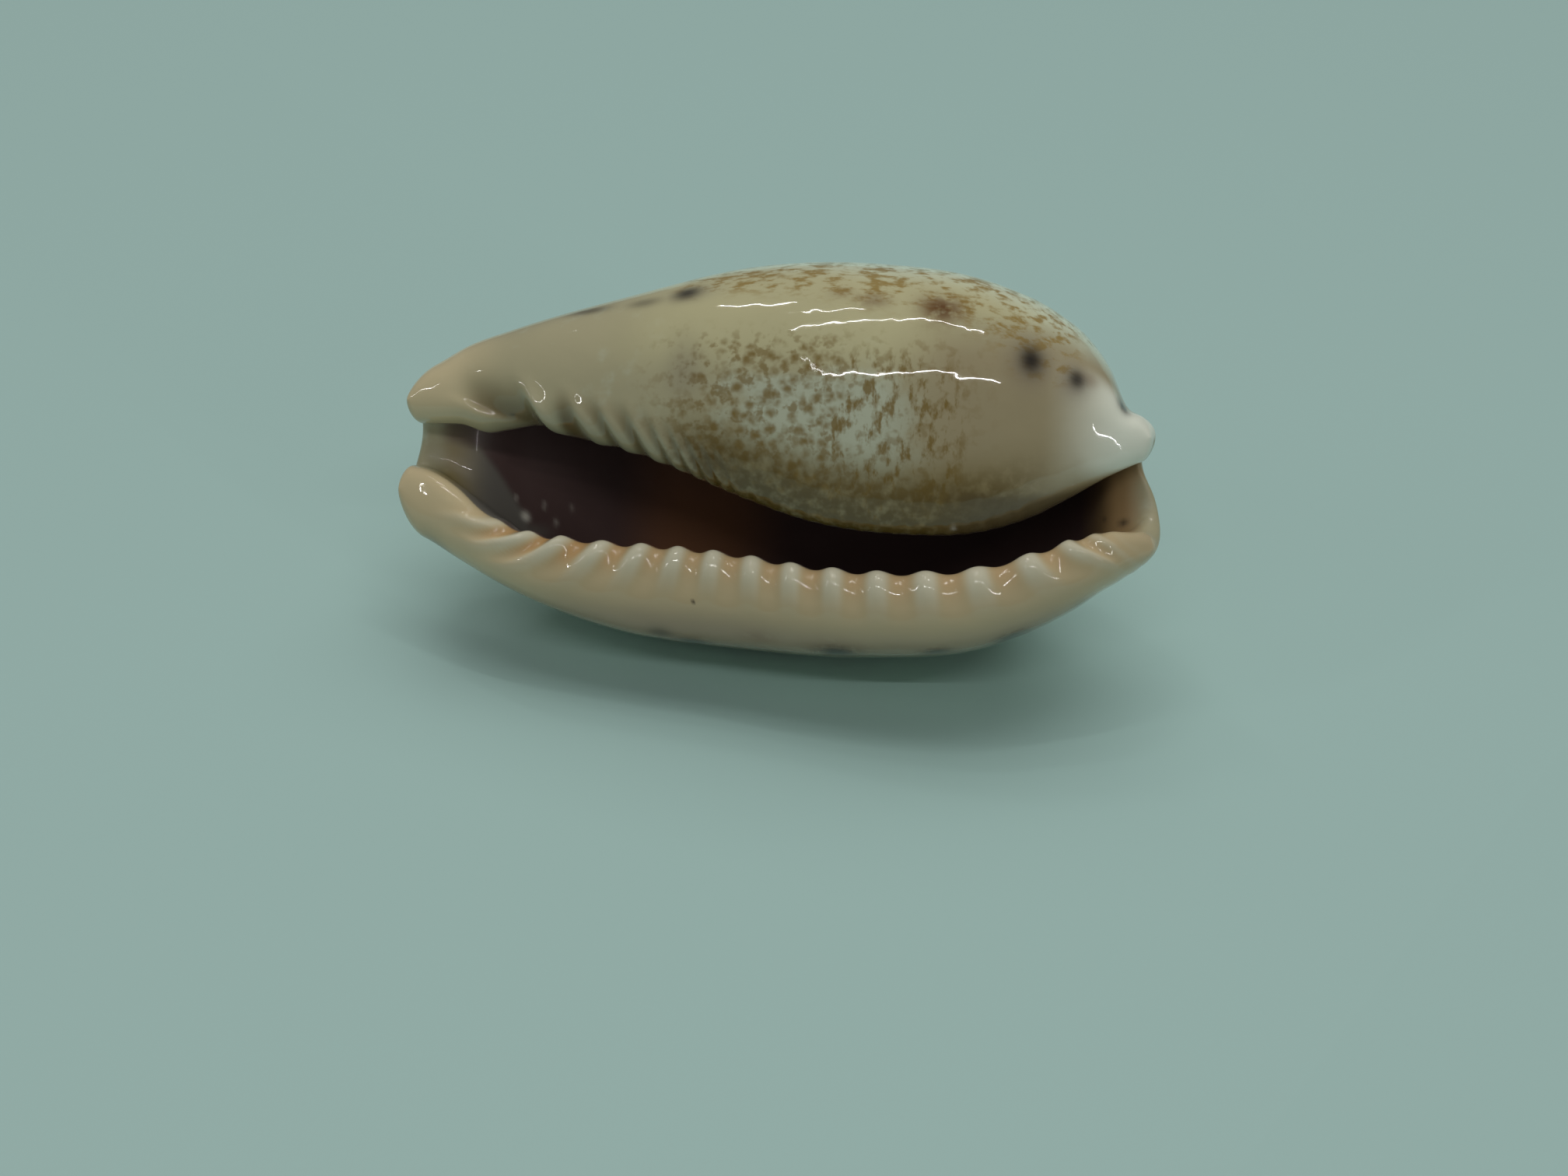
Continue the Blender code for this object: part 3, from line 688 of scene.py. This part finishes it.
@dataclass(frozen=True)
class ShellFinish:
    """Colours and gloss of the shell, as linear values."""

    slot: str = "glossy_shell"
    cream: Colour = (0.410, 0.372, 0.230)
    shoulder_cream: Colour = (0.540, 0.500, 0.285)
    # Beige of the lip's outer band, darkened as painted shade.
    low_lip_beige_and_shade: Colour = (0.370, 0.275, 0.178)
    lip_cream: Colour = (0.510, 0.410, 0.240)
    rear_beige: Colour = (0.350, 0.285, 0.165)
    rear_white: Colour = (0.790, 0.810, 0.680)
    front_cream: Colour = (0.640, 0.530, 0.320)
    blue_white: Colour = (0.490, 0.510, 0.378)
    back_ground: Colour = (0.710, 0.790, 0.600)
    speckle_tan: Colour = (0.195, 0.122, 0.022)
    streak_brown: Colour = (0.300, 0.200, 0.050)
    ochre_ground: Colour = (0.225, 0.168, 0.062)
    margin_line: Colour = (0.170, 0.095, 0.030)
    speckle_olive: Colour = (0.310, 0.228, 0.070)
    blotch_brown: Colour = (0.095, 0.058, 0.022)
    ochre: Colour = (0.115, 0.074, 0.016)
    tooth_white: Colour = (0.610, 0.590, 0.450)
    hollow_tan: Colour = (0.440, 0.230, 0.070)
    # Grey along the lip's lower margin, partly painted shade.
    margin_grey_and_shade: Colour = (0.220, 0.170, 0.110)
    spot_dark: Colour = (0.022, 0.017, 0.014)
    spot_brown: Colour = (0.150, 0.066, 0.020)
    spot_lilac: Colour = (0.175, 0.145, 0.115)
    # The front canal wall where it is lit; past the painted shadow's edge the maroon shows instead.
    lit_front_canal: Colour = (0.190, 0.175, 0.150)
    maroon: Colour = (0.112, 0.068, 0.062)
    warm_inside: Colour = (0.320, 0.140, 0.060)
    front_wall: Colour = (0.310, 0.245, 0.112)
    rear_canal: Colour = (0.390, 0.252, 0.112)
    # Brown of the grooves and the first hollow, darkened as painted shade.
    groove_brown_and_shade: Colour = (0.105, 0.058, 0.009)
    edge_brown: Colour = (0.110, 0.078, 0.034)
    grain_light: Colour = (0.760, 0.720, 0.620)
    grain_dark: Colour = (0.030, 0.024, 0.014)
    roughness: float = 0.05
    dull_roughness: float = 0.35
    specular: float = 0.5
    coat: float = 0.3
    coat_roughness: float = 0.01
    mottle_strength: float = 0.45
    stain_strength: float = 0.55
    dust_strength: float = 0.75
    speckle_strength: float = 0.85
    streak_strength: float = 0.9
    shading: float = 0.07

    def layers(self, paint: "Paint", colour: Socket | Colour, names: tuple[str, ...]) -> Socket:
        """Lays some of the finish's colours over one another, each where the mark of its own name is.

        Args:
            paint: the material's nodes.
            colour: what lies under them.
            names: the colours, lowest first.

        Returns:
            The mixed colour.
        """
        for name in names:
            colour = paint.mix(paint.mark(name), colour, getattr(self, name))
        return colour

    def base_dots(self, paint: "Paint", place: Socket, cloud: Socket) -> Socket:
        """The tan dots and stains of the base.

        Args:
            paint: the material's nodes.
            place: the points' own-frame places.
            cloud: a noise about 0 that breaks up the dots' area.

        Returns:
            A number, 1 in a dot and 0 between dots.
        """
        patches = paint.window(paint.plus(paint.mark("mottle"), cloud), low=0.2, high=0.9)
        amount = paint.times(paint.mark("base_speckles"), patches)
        dots = paint.speckles(place, amount, scale=1.45, softness=0.34, scatter=0.5)
        stains = paint.stains(place, paint.mark("base_speckles"), scale=1.5, low=0.50, high=0.64)
        tall = paint.stretched(place, (1.35, 0.62, 0.62))
        long_stains = paint.stains(tall, paint.mark("base_long"), scale=1.4, low=0.48, high=0.66)
        return paint.highest(paint.highest(dots, long_stains), paint.times(stains, self.stain_strength))

    def material(self) -> bpy.types.Material:
        """Mixes the shell's material from its colours by the marks its points carry.

        Returns:
            The material.
        """
        paint = Paint(self.slot)
        place = paint.own_place()
        swirl = paint.noise(place, scale=0.55, detail=3.0, roughness=0.6)
        wide = paint.noise(place, scale=0.22, detail=2.0, roughness=0.5)
        blur = paint.noise(place, scale=1.5, detail=2.0, roughness=0.55)
        cloud = paint.plus(paint.times(swirl, 2.2), -1.1)

        thin = paint.window(paint.plus(paint.mark("middle"), cloud), low=0.1, high=0.9)
        ground = paint.mix(thin, self.cream, self.blue_white)
        # The lip's outer beige is darkened as painted shade.
        ground = self.layers(paint, ground, ("shoulder_cream", "lip_cream", "low_lip_beige_and_shade", "rear_beige"))
        ground = self.layers(paint, ground, ("rear_white", "back_ground", "front_cream", "ochre_ground"))
        mottle = paint.times(paint.mark("mottle"), paint.window(blur, low=0.50, high=0.68))
        ground = paint.mix(paint.times(mottle, self.mottle_strength), ground, self.speckle_tan)
        dots = self.base_dots(paint, place, cloud)
        colour = paint.mix(paint.times(dots, self.speckle_strength), ground, self.speckle_tan)
        ochre = paint.times(paint.mark("ochre"), paint.window(blur, low=0.22, high=0.62))
        colour = paint.mix(ochre, colour, self.ochre)

        along = paint.stretched(place, (0.62, 1.25, 1.25))
        streaks = paint.stains(along, paint.mark("shoulder_streaks"), scale=1.5, low=0.45, high=0.65)
        colour = paint.mix(paint.times(streaks, self.streak_strength), colour, self.streak_brown)
        spots = paint.speckles(place, paint.mark("back_speckles"), scale=1.5, softness=0.32, scatter=0.7)
        dust = paint.speckles(place, paint.mark("back_dust"), scale=2.6, softness=0.25, scatter=0.8)
        olive = paint.highest(spots, paint.times(dust, self.dust_strength))
        colour = paint.mix(paint.times(olive, self.speckle_strength), colour, self.speckle_olive)
        blotch = paint.times(paint.mark("back_blotch"), paint.window(swirl, low=0.28, high=0.62))
        colour = paint.mix(blotch, colour, self.blotch_brown)

        # The grey along the lip's lower margin is partly painted shade.
        colour = self.layers(paint, colour, ("margin_grey_and_shade", "margin_line", "hollow_tan", "tooth_white"))
        colour = self.layers(paint, colour, ("spot_lilac",))
        brown = paint.times(paint.mark("spot_brown"), paint.window(blur, low=0.18, high=0.55))
        colour = paint.mix(brown, colour, self.spot_brown)
        # The grooves' colour is brown plus painted shade.
        colour = self.layers(paint, colour, ("spot_dark", "groove_brown_and_shade", "edge_brown"))
        # In the front canal, the maroon past the shadow's edge is painted shadow.
        inner = self.layers(paint, self.maroon, ("warm_inside", "lit_front_canal", "front_wall", "rear_canal"))
        colour = paint.mix(paint.mark("inside"), colour, inner)
        colour = self.layers(paint, colour, ("grain_light", "grain_dark"))

        uneven = paint.noise(place, scale=0.75, detail=1.5, roughness=0.5)
        normal = paint.bump(uneven, strength=0.15, distance=0.0002)
        paint.feed(
            paint.nodes["Principled BSDF"],
            {
                "Base Color": paint.shade(colour, wide, self.shading),
                "Normal": normal,
                "Coat Normal": normal,
                "Roughness": paint.plus(paint.times(paint.mark("dull"), self.dull_roughness), self.roughness),
                "Specular IOR Level": self.specular,
                "Coat Weight": self.coat,
                "Coat Roughness": self.coat_roughness,
            },
        )
        return paint.material


class Paint:
    """A material's nodes, laid out by short calls."""

    def __init__(self, name: str) -> None:
        """Starts a material with a Principled shader.

        Args:
            name: the material's name.
        """
        self.material = bpy.data.materials.new(name)
        self.material.use_nodes = True
        self.nodes = self.material.node_tree.nodes
        self.links = self.material.node_tree.links

    def feed(self, node: bpy.types.Node, inputs: dict[str | int, object]) -> None:
        """Feeds a node's sockets.

        Args:
            node: the node.
            inputs: for each socket another node's output, or a number, place or colour.
        """
        for key, value in inputs.items():
            socket = node.inputs[key]
            if isinstance(value, Socket):
                self.links.new(value, socket)
            elif socket.type == "RGBA":
                socket.default_value = (*value, 1.0)
            else:
                socket.default_value = value

    def node(self, kind: str, output: str | int, inputs: dict[str | int, object], **settings: str) -> Socket:
        """Adds one node.

        Args:
            kind: its type, without the ShaderNode in front.
            output: the output that is handed on.
            inputs: what its sockets are fed with.
            settings: its other properties.

        Returns:
            The output.
        """
        node = self.nodes.new("ShaderNode" + kind)
        for name, value in settings.items():
            setattr(node, name, value)
        self.feed(node, inputs)
        return node.outputs[output]

    def mark(self, name: str) -> Socket:
        """A number that each of the piece's points carries."""
        return self.node("Attribute", "Fac", {}, attribute_name=name)

    def own_place(self) -> Socket:
        """The own-frame place that each of the piece's points carries."""
        return self.node("Attribute", "Vector", {}, attribute_name="own_place")

    def stretched(self, place: Socket, scale: Place) -> Socket:
        """The places with each of their three numbers scaled."""
        return self.node("Mapping", "Vector", {"Vector": place, "Scale": scale})

    def noise(
        self, place: Socket, scale: float, detail: float, roughness: float, output: str = "Fac"
    ) -> Socket:
        """Cloudy noise over the places, about 0.2 to 0.8."""
        inputs = {"Vector": place, "Scale": scale, "Detail": detail, "Roughness": roughness}
        return self.node("TexNoise", output, inputs)

    def speckles(
        self, place: Socket, amount: Socket, scale: float, softness: float, scatter: float
    ) -> Socket:
        """Soft uneven dots.

        Args:
            place: the places they cover.
            amount: a dot's radius as a share of their spacing, 0 where there are none.
            scale: dots per millimetre.
            softness: how wide a dot's edge is, as a share of their spacing.
            scatter: how far the dots are pulled out of shape.

        Returns:
            A number, 1 in a dot and 0 between dots.
        """
        warp = self.noise(place, scale=scale * 1.7, detail=1.0, roughness=0.5, output="Color")
        pull = (scatter / scale,) * 3
        moved = self.node("VectorMath", "Vector", {0: warp, 1: pull, 2: place}, operation="MULTIPLY_ADD")
        distance = self.node("TexVoronoi", "Distance", {"Vector": moved, "Scale": scale}, feature="F1")
        patchy = self.noise(place, scale=scale * 0.5, detail=2.0, roughness=0.6)
        ragged = self.noise(place, scale=scale * 1.9, detail=1.0, roughness=0.5)
        radius = self.times(amount, self.plus(self.times(patchy, 2.0), 0.1))
        edge = self.plus(distance, self.plus(self.times(ragged, 0.5), -0.25))
        gap = self.maths("SUBTRACT", radius, edge)
        present = self.window(amount, low=0.0, high=0.3)
        return self.times(self.window(gap, low=-softness, high=softness), present)

    def stains(self, place: Socket, amount: Socket, scale: float, low: float, high: float) -> Socket:
        """Irregular soft-edged stains.

        Args:
            place: the places they cover.
            amount: where they show, from 0 to about 0.3.
            scale: how fine they are.
            low: the noise below which there is no stain.
            high: the noise above which a stain is full.

        Returns:
            A number, 1 in a stain and 0 between stains.
        """
        cloud = self.noise(place, scale=scale, detail=3.0, roughness=0.6)
        return self.times(self.window(cloud, low, high), self.window(amount, low=0.04, high=0.36))

    def maths(self, operation: str, a: Socket, b: Socket | float) -> Socket:
        """What an operation makes of two numbers."""
        return self.node("Math", "Value", {0: a, 1: b}, operation=operation)

    def times(self, a: Socket, b: Socket | float) -> Socket:
        """The product of two numbers."""
        return self.maths("MULTIPLY", a, b)

    def plus(self, a: Socket, b: Socket | float) -> Socket:
        """The sum of two numbers."""
        return self.maths("ADD", a, b)

    def highest(self, a: Socket, b: Socket) -> Socket:
        """The higher of two numbers."""
        return self.maths("MAXIMUM", a, b)

    def window(self, value: Socket, low: float, high: float) -> Socket:
        """0 below low, 1 above high, and smooth between them."""
        inputs = {"Value": value, "From Min": low, "From Max": high}
        return self.node("MapRange", "Result", inputs, interpolation_type="SMOOTHSTEP")

    def mix(self, weight: Socket, under: Socket | Colour, over: Socket | Colour) -> Socket:
        """One colour laid over another by a weight."""
        return self.node("Mix", 2, {"Factor": weight, 6: under, 7: over}, data_type="RGBA")

    def shade(self, colour: Socket, cloud: Socket, amount: float) -> Socket:
        """A colour made slightly lighter and darker by a cloudy noise."""
        value = self.plus(self.times(cloud, 2 * amount), 1 - amount)
        return self.node("HueSaturation", "Color", {"Color": colour, "Value": value})

    def bump(self, height: Socket, strength: float, distance: float) -> Socket:
        """A fine unevenness of the surface."""
        return self.node("Bump", "Normal", {"Height": height, "Strength": strength, "Distance": distance})


@dataclass
class CowrieShell:
    """The whole shell, one glossy piece."""

    form: ShellForm = field(default_factory=ShellForm)
    teeth: LipTeeth = field(default_factory=LipTeeth)
    folds: ColumellaFolds = field(default_factory=ColumellaFolds)
    markings: Markings = field(default_factory=Markings)
    finish: ShellFinish = field(default_factory=ShellFinish)
    base_faces_up_deg: float = 36.9
    rear_end_raised_deg: float = 5.6
    own_origin: Place = (-21.9281, -4.3662, 11.3073)
    ring_gap: float = 0.108
    rim_rings: int = 18
    soft_end_reach: float = 2.6
    soft_end_passes: int = 60

    def stations(self) -> Row:
        """Spaces the rings evenly along the shell, and closer in the rounded rims of its ends.

        Returns:
            The x of every ring.
        """
        bend = 1 - np.cos(math.pi / 2 * np.arange(self.rim_rings) / self.rim_rings)
        front = max(self.form.front_rim) * bend
        rear = self.form.length - max(self.form.rear_rim) * bend[::-1]
        count = round((rear[0] - front[-1]) / self.ring_gap)
        return np.concatenate([front, np.linspace(front[-1], rear[0], count + 1)[1:-1], rear])

    def lying_rotation(self) -> Matrix:
        """Turns the shell's own frame to the way it lies: base up and forward, rear end a little raised."""
        up = math.radians(self.base_faces_up_deg)
        axes = Matrix(((1, 0, 0), (0, math.sin(up), -math.cos(up)), (0, math.cos(up), math.sin(up))))
        return Matrix.Rotation(-math.radians(self.rear_end_raised_deg), 3, "Y") @ axes

    def ring(self, x: float) -> dict[str, Row]:
        """The ring at x: own-frame points and what each point carries.

        Args:
            x: millimetres from the front end.

        Returns:
            Arrays along the ring, outside row first and then the inside row backwards.
        """
        form = self.form
        place = form.places()
        front = (1 - min(x / form.shift_reach, 1.0)) ** 2
        rear = (1 - min((form.length - x) / form.shift_reach, 1.0)) ** 2
        shift = front * form.round_the_ring(form.shift_places, form.front_shift, place)
        shift = shift + rear * form.round_the_ring(form.shift_places, form.rear_shift, place)
        outside, inside = form.rows(x)
        middle = (outside + inside) / 2
        skins = []
        for side, row in ((Side.OUTSIDE, outside), (Side.INSIDE, inside)):
            full = form.fullness(x, place, side)
            row = middle + (row - middle) * full[:, None]
            u, n = row[:, 0], row[:, 1]
            lip = place <= 1
            across_lip = -u - form.lip_edge(x)
            wave, strength = self.teeth.wave(x, across_lip)
            raised = np.where(lip, full * self.teeth.height * wave * strength, 0.0)
            u = u + self.teeth.towards_gap * raised
            n = n + self.teeth.outwards * raised
            columella = place >= 3
            past_edge = u - form.columella_edge(x)
            fold = np.where(columella, full * self.folds.height(x, past_edge), 0.0)
            fine = full * self.folds.fine(x, past_edge) * fade(place, *self.folds.fine_stops) * (place > 2)
            dent = np.where(columella, full * self.folds.hollow(x, u), 0.0)
            dent = dent * fade(place, *self.folds.hollow_stops)
            u = u - self.folds.towards_gap * fold - fine
            n = n + self.folds.outwards * fold - dent
            skins.append(
                {
                    "x": x + shift,
                    "u": u,
                    "n": n,
                    "place": place,
                    "inner": np.full(len(place), float(side.value)),
                    "wave": wave,
                    "tooth": np.where(lip, strength, 0.0),
                    "fold": fold,
                    "dent": dent,
                    "across_lip": across_lip,
                    "past_edge": u - form.columella_edge(x),
                }
            )
        return {key: np.concatenate([skins[0][key], skins[1][key][-2:0:-1]]) for key in skins[0]}

    def soften_ends(self, table: dict[str, Row], stations: Row) -> None:
        """Rounds the corners that run round the shell's two end rims.

        Args:
            table: arrays of the rings' points, whose places x, u and n are changed.
            stations: the x of every ring.
        """
        to_end = np.minimum(stations, self.form.length - stations)
        weight = fade(to_end, 0.0, self.soft_end_reach)[:, None]
        for key in ("x", "u", "n"):
            for _ in range(self.soft_end_passes):
                row = table[key]
                blurred = (np.roll(row, 1, axis=1) + np.roll(row, -1, axis=1)) / 2
                table[key] = row + weight * (blurred - row) / 2

    def marks(self, ring: dict[str, Row]) -> dict[str, Row]:
        """What each point carries for the material, from its place on the shell.

        Args:
            ring: what ring() gives, in arrays of any one shape.

        Returns:
            Named weights from 0 to 1, in the same shape.
        """
        x, u, n, place = ring["x"], ring["u"], ring["n"], ring["place"]
        markings = self.markings
        columella = place > 2
        outside = 1 - ring["inner"]
        lip_edge, columella_edge = self.form.edge_places()
        full, gone = markings.inside_edge
        interior = ring["inner"] * np.where(
            columella,
            fade(place, columella_edge - full, columella_edge + gone),
            fade(place, lip_edge + full, lip_edge - gone),
        )
        base = np.where(columella, 1 - interior, 0.0)
        shoulder_stop = np.maximum(fade(x, *markings.shoulder_stops_x), fade(u, *markings.shoulder_stops_u))
        blotched = markings.total(markings.back_blotch, x, u, n) * outside
        reads = {
            **ring,
            "beyond": markings.beyond_margin(x, n, place),
            "past_rim": ring["past_edge"] - np.interp(x, markings.rim_x, markings.rim_from_edge),
            # How far a point lies past the edge of the front canal's painted shadow.
            "into_canal_shadow": u - np.interp(x, markings.canal_shadow_x, markings.canal_shadow_u),
            "all": np.ones(x.shape),
            "interior": interior,
            "base": base,
            "shoulder": base * shoulder_stop,
            "dented": base * np.minimum(ring["dent"] / self.folds.hollow_depth, 1.0),
            "lip": np.where(columella, 0.0, 1 - interior),
            "columella": columella.astype(float),
            "columella_outside": np.where(columella, outside, 0.0),
            "lip_outside": np.where(columella, 0.0, outside),
            "blotched": blotched,
        }
        marks = {name: sum(zone.weight(reads) for zone in zones) for name, zones in ZONES.items()}
        speckled = marks.pop("speckled")
        sizes = {"back_speckles": markings.speckle_sizes, "back_dust": markings.dust_sizes}
        for name, (least, more) in sizes.items():
            marks[name] = speckled * (least + more * blotched)
        # Brown and painted shade, weakest on the folds' crests and strongest between them.
        off_folds = 1 - np.clip(ring["fold"] / markings.plain_fold, 0.0, 1.0)
        between_folds = marks.pop("fold_area") * (markings.groove_least + markings.groove_more * off_folds)
        marks["groove_brown_and_shade"] = np.maximum(between_folds, marks.pop("first_hollow"))
        marks["spot_dark"] = markings.total(markings.dark, x, u, n) * outside
        marks["spot_brown"] = markings.total(markings.brown, x, u, n) * outside
        marks["spot_lilac"] = markings.total(markings.lilac, x, u, n) * (1 - interior)
        marks["grain_light"] = markings.total(markings.light_grains, x, u, n)
        marks["grain_dark"] = markings.total(markings.dark_grains, x, u, n)
        return marks

    def build(self) -> bpy.types.Object:
        """Builds and dresses the shell.

        Returns:
            The shell's object, in the row frame.
        """
        stations = self.stations()
        rings = [self.ring(float(x)) for x in stations]
        around = len(rings[0]["u"])
        table = {key: np.stack([ring[key] for ring in rings]) for key in rings[0]}
        marks = self.marks(table)
        self.soften_ends(table, stations)

        skin = bmesh.new()
        bmesh.ops.create_grid(skin, x_segments=len(stations) - 1, y_segments=around, size=0.5)
        own = skin.verts.layers.float_vector.new("own_place")
        layers = {name: skin.verts.layers.float.new(name) for name in marks}
        turn = self.lying_rotation()
        origin = Vector(self.own_origin)
        for vert in skin.verts:
            i = round((vert.co.x + 0.5) * (len(stations) - 1))
            j = round((vert.co.y + 0.5) * around) % around
            place = Vector((table["x"][i, j], table["u"][i, j], table["n"][i, j]))
            vert[own] = place
            for name, layer in layers.items():
                vert[layer] = float(marks[name][i, j])
            vert.co = (turn @ place + origin) * MM
            vert.co.z = max(vert.co.z, 0.0)
        bmesh.ops.remove_doubles(skin, verts=skin.verts, dist=1e-7)
        bmesh.ops.recalc_face_normals(skin, faces=skin.faces)
        mesh = bpy.data.meshes.new("shell_skin")
        skin.to_mesh(mesh)
        skin.free()
        mesh.shade_smooth()
        mesh.materials.append(self.finish.material())
        shell = bpy.data.objects.new("shell_skin", mesh)
        bpy.context.scene.collection.objects.link(shell)
        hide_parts("cowrie_shell")
        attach(shell, "root")
        return shell


@dataclass(frozen=True)
class Panel:
    """One soft rectangular light that faces the shell and isn't seen in its gloss.

    Its place and sides are in metres, the place from the shell's middle, and its power is in watts.
    """

    name: str
    place: Place
    sides: Pair
    power: float


@dataclass(frozen=True)
class Tube:
    """One thin straight light, which draws a long highlight on the gloss.

    Start and end are directions from the shell's middle, distance and width are in metres, and brightness is
    its power for each square metre of its face, in watts.
    """

    name: str
    start: Place
    end: Place
    distance: float
    width: float
    brightness: float


@dataclass
class Studio:
    """The plain pale floor, the soft light and the camera."""

    floor_size: float = 3.0
    floor_colour: Colour = (0.387, 0.555, 0.515)
    floor_roughness: float = 0.6
    surround_colour: Colour = (0.94, 1.0, 0.98)
    surround_strength: float = 0.125
    look_azimuth_deg: float = 7.16477
    look_elevation_deg: float = 38.126
    roll_deg: float = 2.1451
    camera_from_shell: Place = (12.480, -92.214, 64.295)
    shell_middle: Place = (-1.028, -4.366, 13.357)
    lens: float = 47.115
    sensor_width: float = 36.0
    clip_start: float = 0.005
    panels: tuple[Panel, ...] = (
        Panel("overhead", (0.05, 0.35, 1.0), (1.0, 1.0), 5.2),
        Panel("front_fill", (-0.25, -0.8, 0.6), (0.9, 0.5), 0.2),
    )
    tubes: tuple[Tube, ...] = (
        Tube("front_tube", (-0.25, -0.60, 0.76), (0.52, -0.44, 0.73), 0.6, 0.0035, 250.0),
        Tube("bend_tube", (-0.318, -0.43, 0.84), (-0.25, -0.60, 0.76), 0.6, 0.003, 60.0),
        Tube("top_tube_front", (-0.357, -0.04, 0.932), (0.0, 0.15, 0.98), 0.7, 0.0035, 195.0),
        Tube("top_tube_rear", (0.0, 0.15, 0.98), (0.359, 0.05, 0.932), 0.7, 0.004, 210.0),
        Tube("rear_top_tube", (-0.47, 0.42, 0.773), (-0.335, 0.38, 0.86), 0.7, 0.004, 250.0),
        Tube("rear_top_step", (-0.33, 0.22, 0.92), (-0.12, 0.285, 0.949), 0.7, 0.0035, 225.0),
        Tube("rear_end_tube", (0.668, -0.531, 0.522), (0.78, -0.60, 0.10), 0.5, 0.002, 250.0),
        Tube("front_end_tube", (-0.80, -0.44, 0.41), (-0.735, -0.25, 0.62), 0.5, 0.0025, 165.0),
    )

    def floor(self) -> bpy.types.Object:
        """Lays a large plain floor at the shell's resting level.

        Returns:
            The floor's object.
        """
        sheet = bmesh.new()
        bmesh.ops.create_grid(sheet, x_segments=1, y_segments=1, size=self.floor_size / 2)
        mesh = bpy.data.meshes.new("floor")
        sheet.to_mesh(mesh)
        sheet.free()
        paint = Paint("pale_floor")
        finish = {"Base Color": self.floor_colour, "Roughness": self.floor_roughness}
        paint.feed(paint.nodes["Principled BSDF"], finish)
        mesh.materials.append(paint.material)
        floor = bpy.data.objects.new("floor", mesh)
        bpy.context.scene.collection.objects.link(floor)
        return floor

    def area_light(self, name: str, place: Vector, turn: Matrix, sides: Pair) -> bpy.types.Object:
        """Hangs one rectangular light.

        Args:
            name: its name.
            place: where it hangs, in metres from the shell's middle.
            turn: its rotation; it shines along its own -Z.
            sides: its two sides, in metres.

        Returns:
            The light's object.
        """
        light = bpy.data.lights.new(name, "AREA")
        light.shape = "RECTANGLE"
        light.size, light.size_y = sides
        lamp = bpy.data.objects.new(name, light)
        lamp.matrix_world = Matrix.Translation(place + Vector(self.shell_middle) * MM) @ turn.to_4x4()
        bpy.context.scene.collection.objects.link(lamp)
        return lamp

    def hang_panel(self, panel: Panel) -> None:
        """Hangs one soft light.

        Args:
            panel: the light.
        """
        place = Vector(panel.place)
        turn = (-place).to_track_quat("-Z", "Y").to_matrix()
        lamp = self.area_light(panel.name, place, turn, panel.sides)
        lamp.data.energy = panel.power
        lamp.visible_glossy = False

    def hang_tube(self, tube: Tube) -> None:
        """Hangs one thin light between its two directions, facing the shell.

        Args:
            tube: the light.
        """
        start, end = (Vector(direction).normalized() * tube.distance for direction in (tube.start, tube.end))
        middle = (start + end) / 2
        along = end - start
        x_axis = along.normalized()
        y_axis = middle.normalized().cross(x_axis).normalized()
        turn = Matrix((x_axis, y_axis, x_axis.cross(y_axis))).transposed()
        lamp = self.area_light(tube.name, middle, turn, (along.length, tube.width))
        lamp.data.energy = tube.brightness * along.length * tube.width

    def lights(self) -> None:
        """Soft light from above and the front, thin tubes for the long highlights, and a pale surround."""
        for panel in self.panels:
            self.hang_panel(panel)
        for tube in self.tubes:
            self.hang_tube(tube)
        world = bpy.data.worlds.new("surround")
        bpy.context.scene.world = world
        world.use_nodes = True
        surround = world.node_tree.nodes["Background"]
        surround.inputs["Color"].default_value = (*self.surround_colour, 1.0)
        surround.inputs["Strength"].default_value = self.surround_strength
        bpy.context.scene.view_settings.view_transform = "Standard"

    def camera(self) -> bpy.types.Object:
        """Sets up the camera where the photograph was taken from.

        Returns:
            The camera's object.
        """
        data = bpy.data.cameras.new("view")
        data.sensor_fit = "HORIZONTAL"
        data.sensor_width = self.sensor_width
        data.lens = self.lens
        data.clip_start = self.clip_start
        camera = bpy.data.objects.new("view", data)
        turn = (
            Matrix.Rotation(math.radians(self.look_azimuth_deg), 3, "Z")
            @ Matrix.Rotation(math.radians(90 - self.look_elevation_deg), 3, "X")
            @ Matrix.Rotation(math.radians(self.roll_deg), 3, "Z")
        )
        place = (Vector(self.shell_middle) + Vector(self.camera_from_shell)) * MM
        camera.matrix_world = Matrix.Translation(place) @ turn.to_4x4()
        bpy.context.scene.collection.objects.link(camera)
        bpy.context.scene.camera = camera
        return camera


def main() -> None:
    """Builds the scene in order."""
    logging.basicConfig(level=logging.INFO)
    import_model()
    studio = Studio()
    studio.floor()
    studio.lights()
    studio.camera()
    shell = CowrieShell().build()
    LOG.info("%s: %d points, %d faces", shell.name, len(shell.data.vertices), len(shell.data.polygons))


if __name__ == "__main__":
    main()
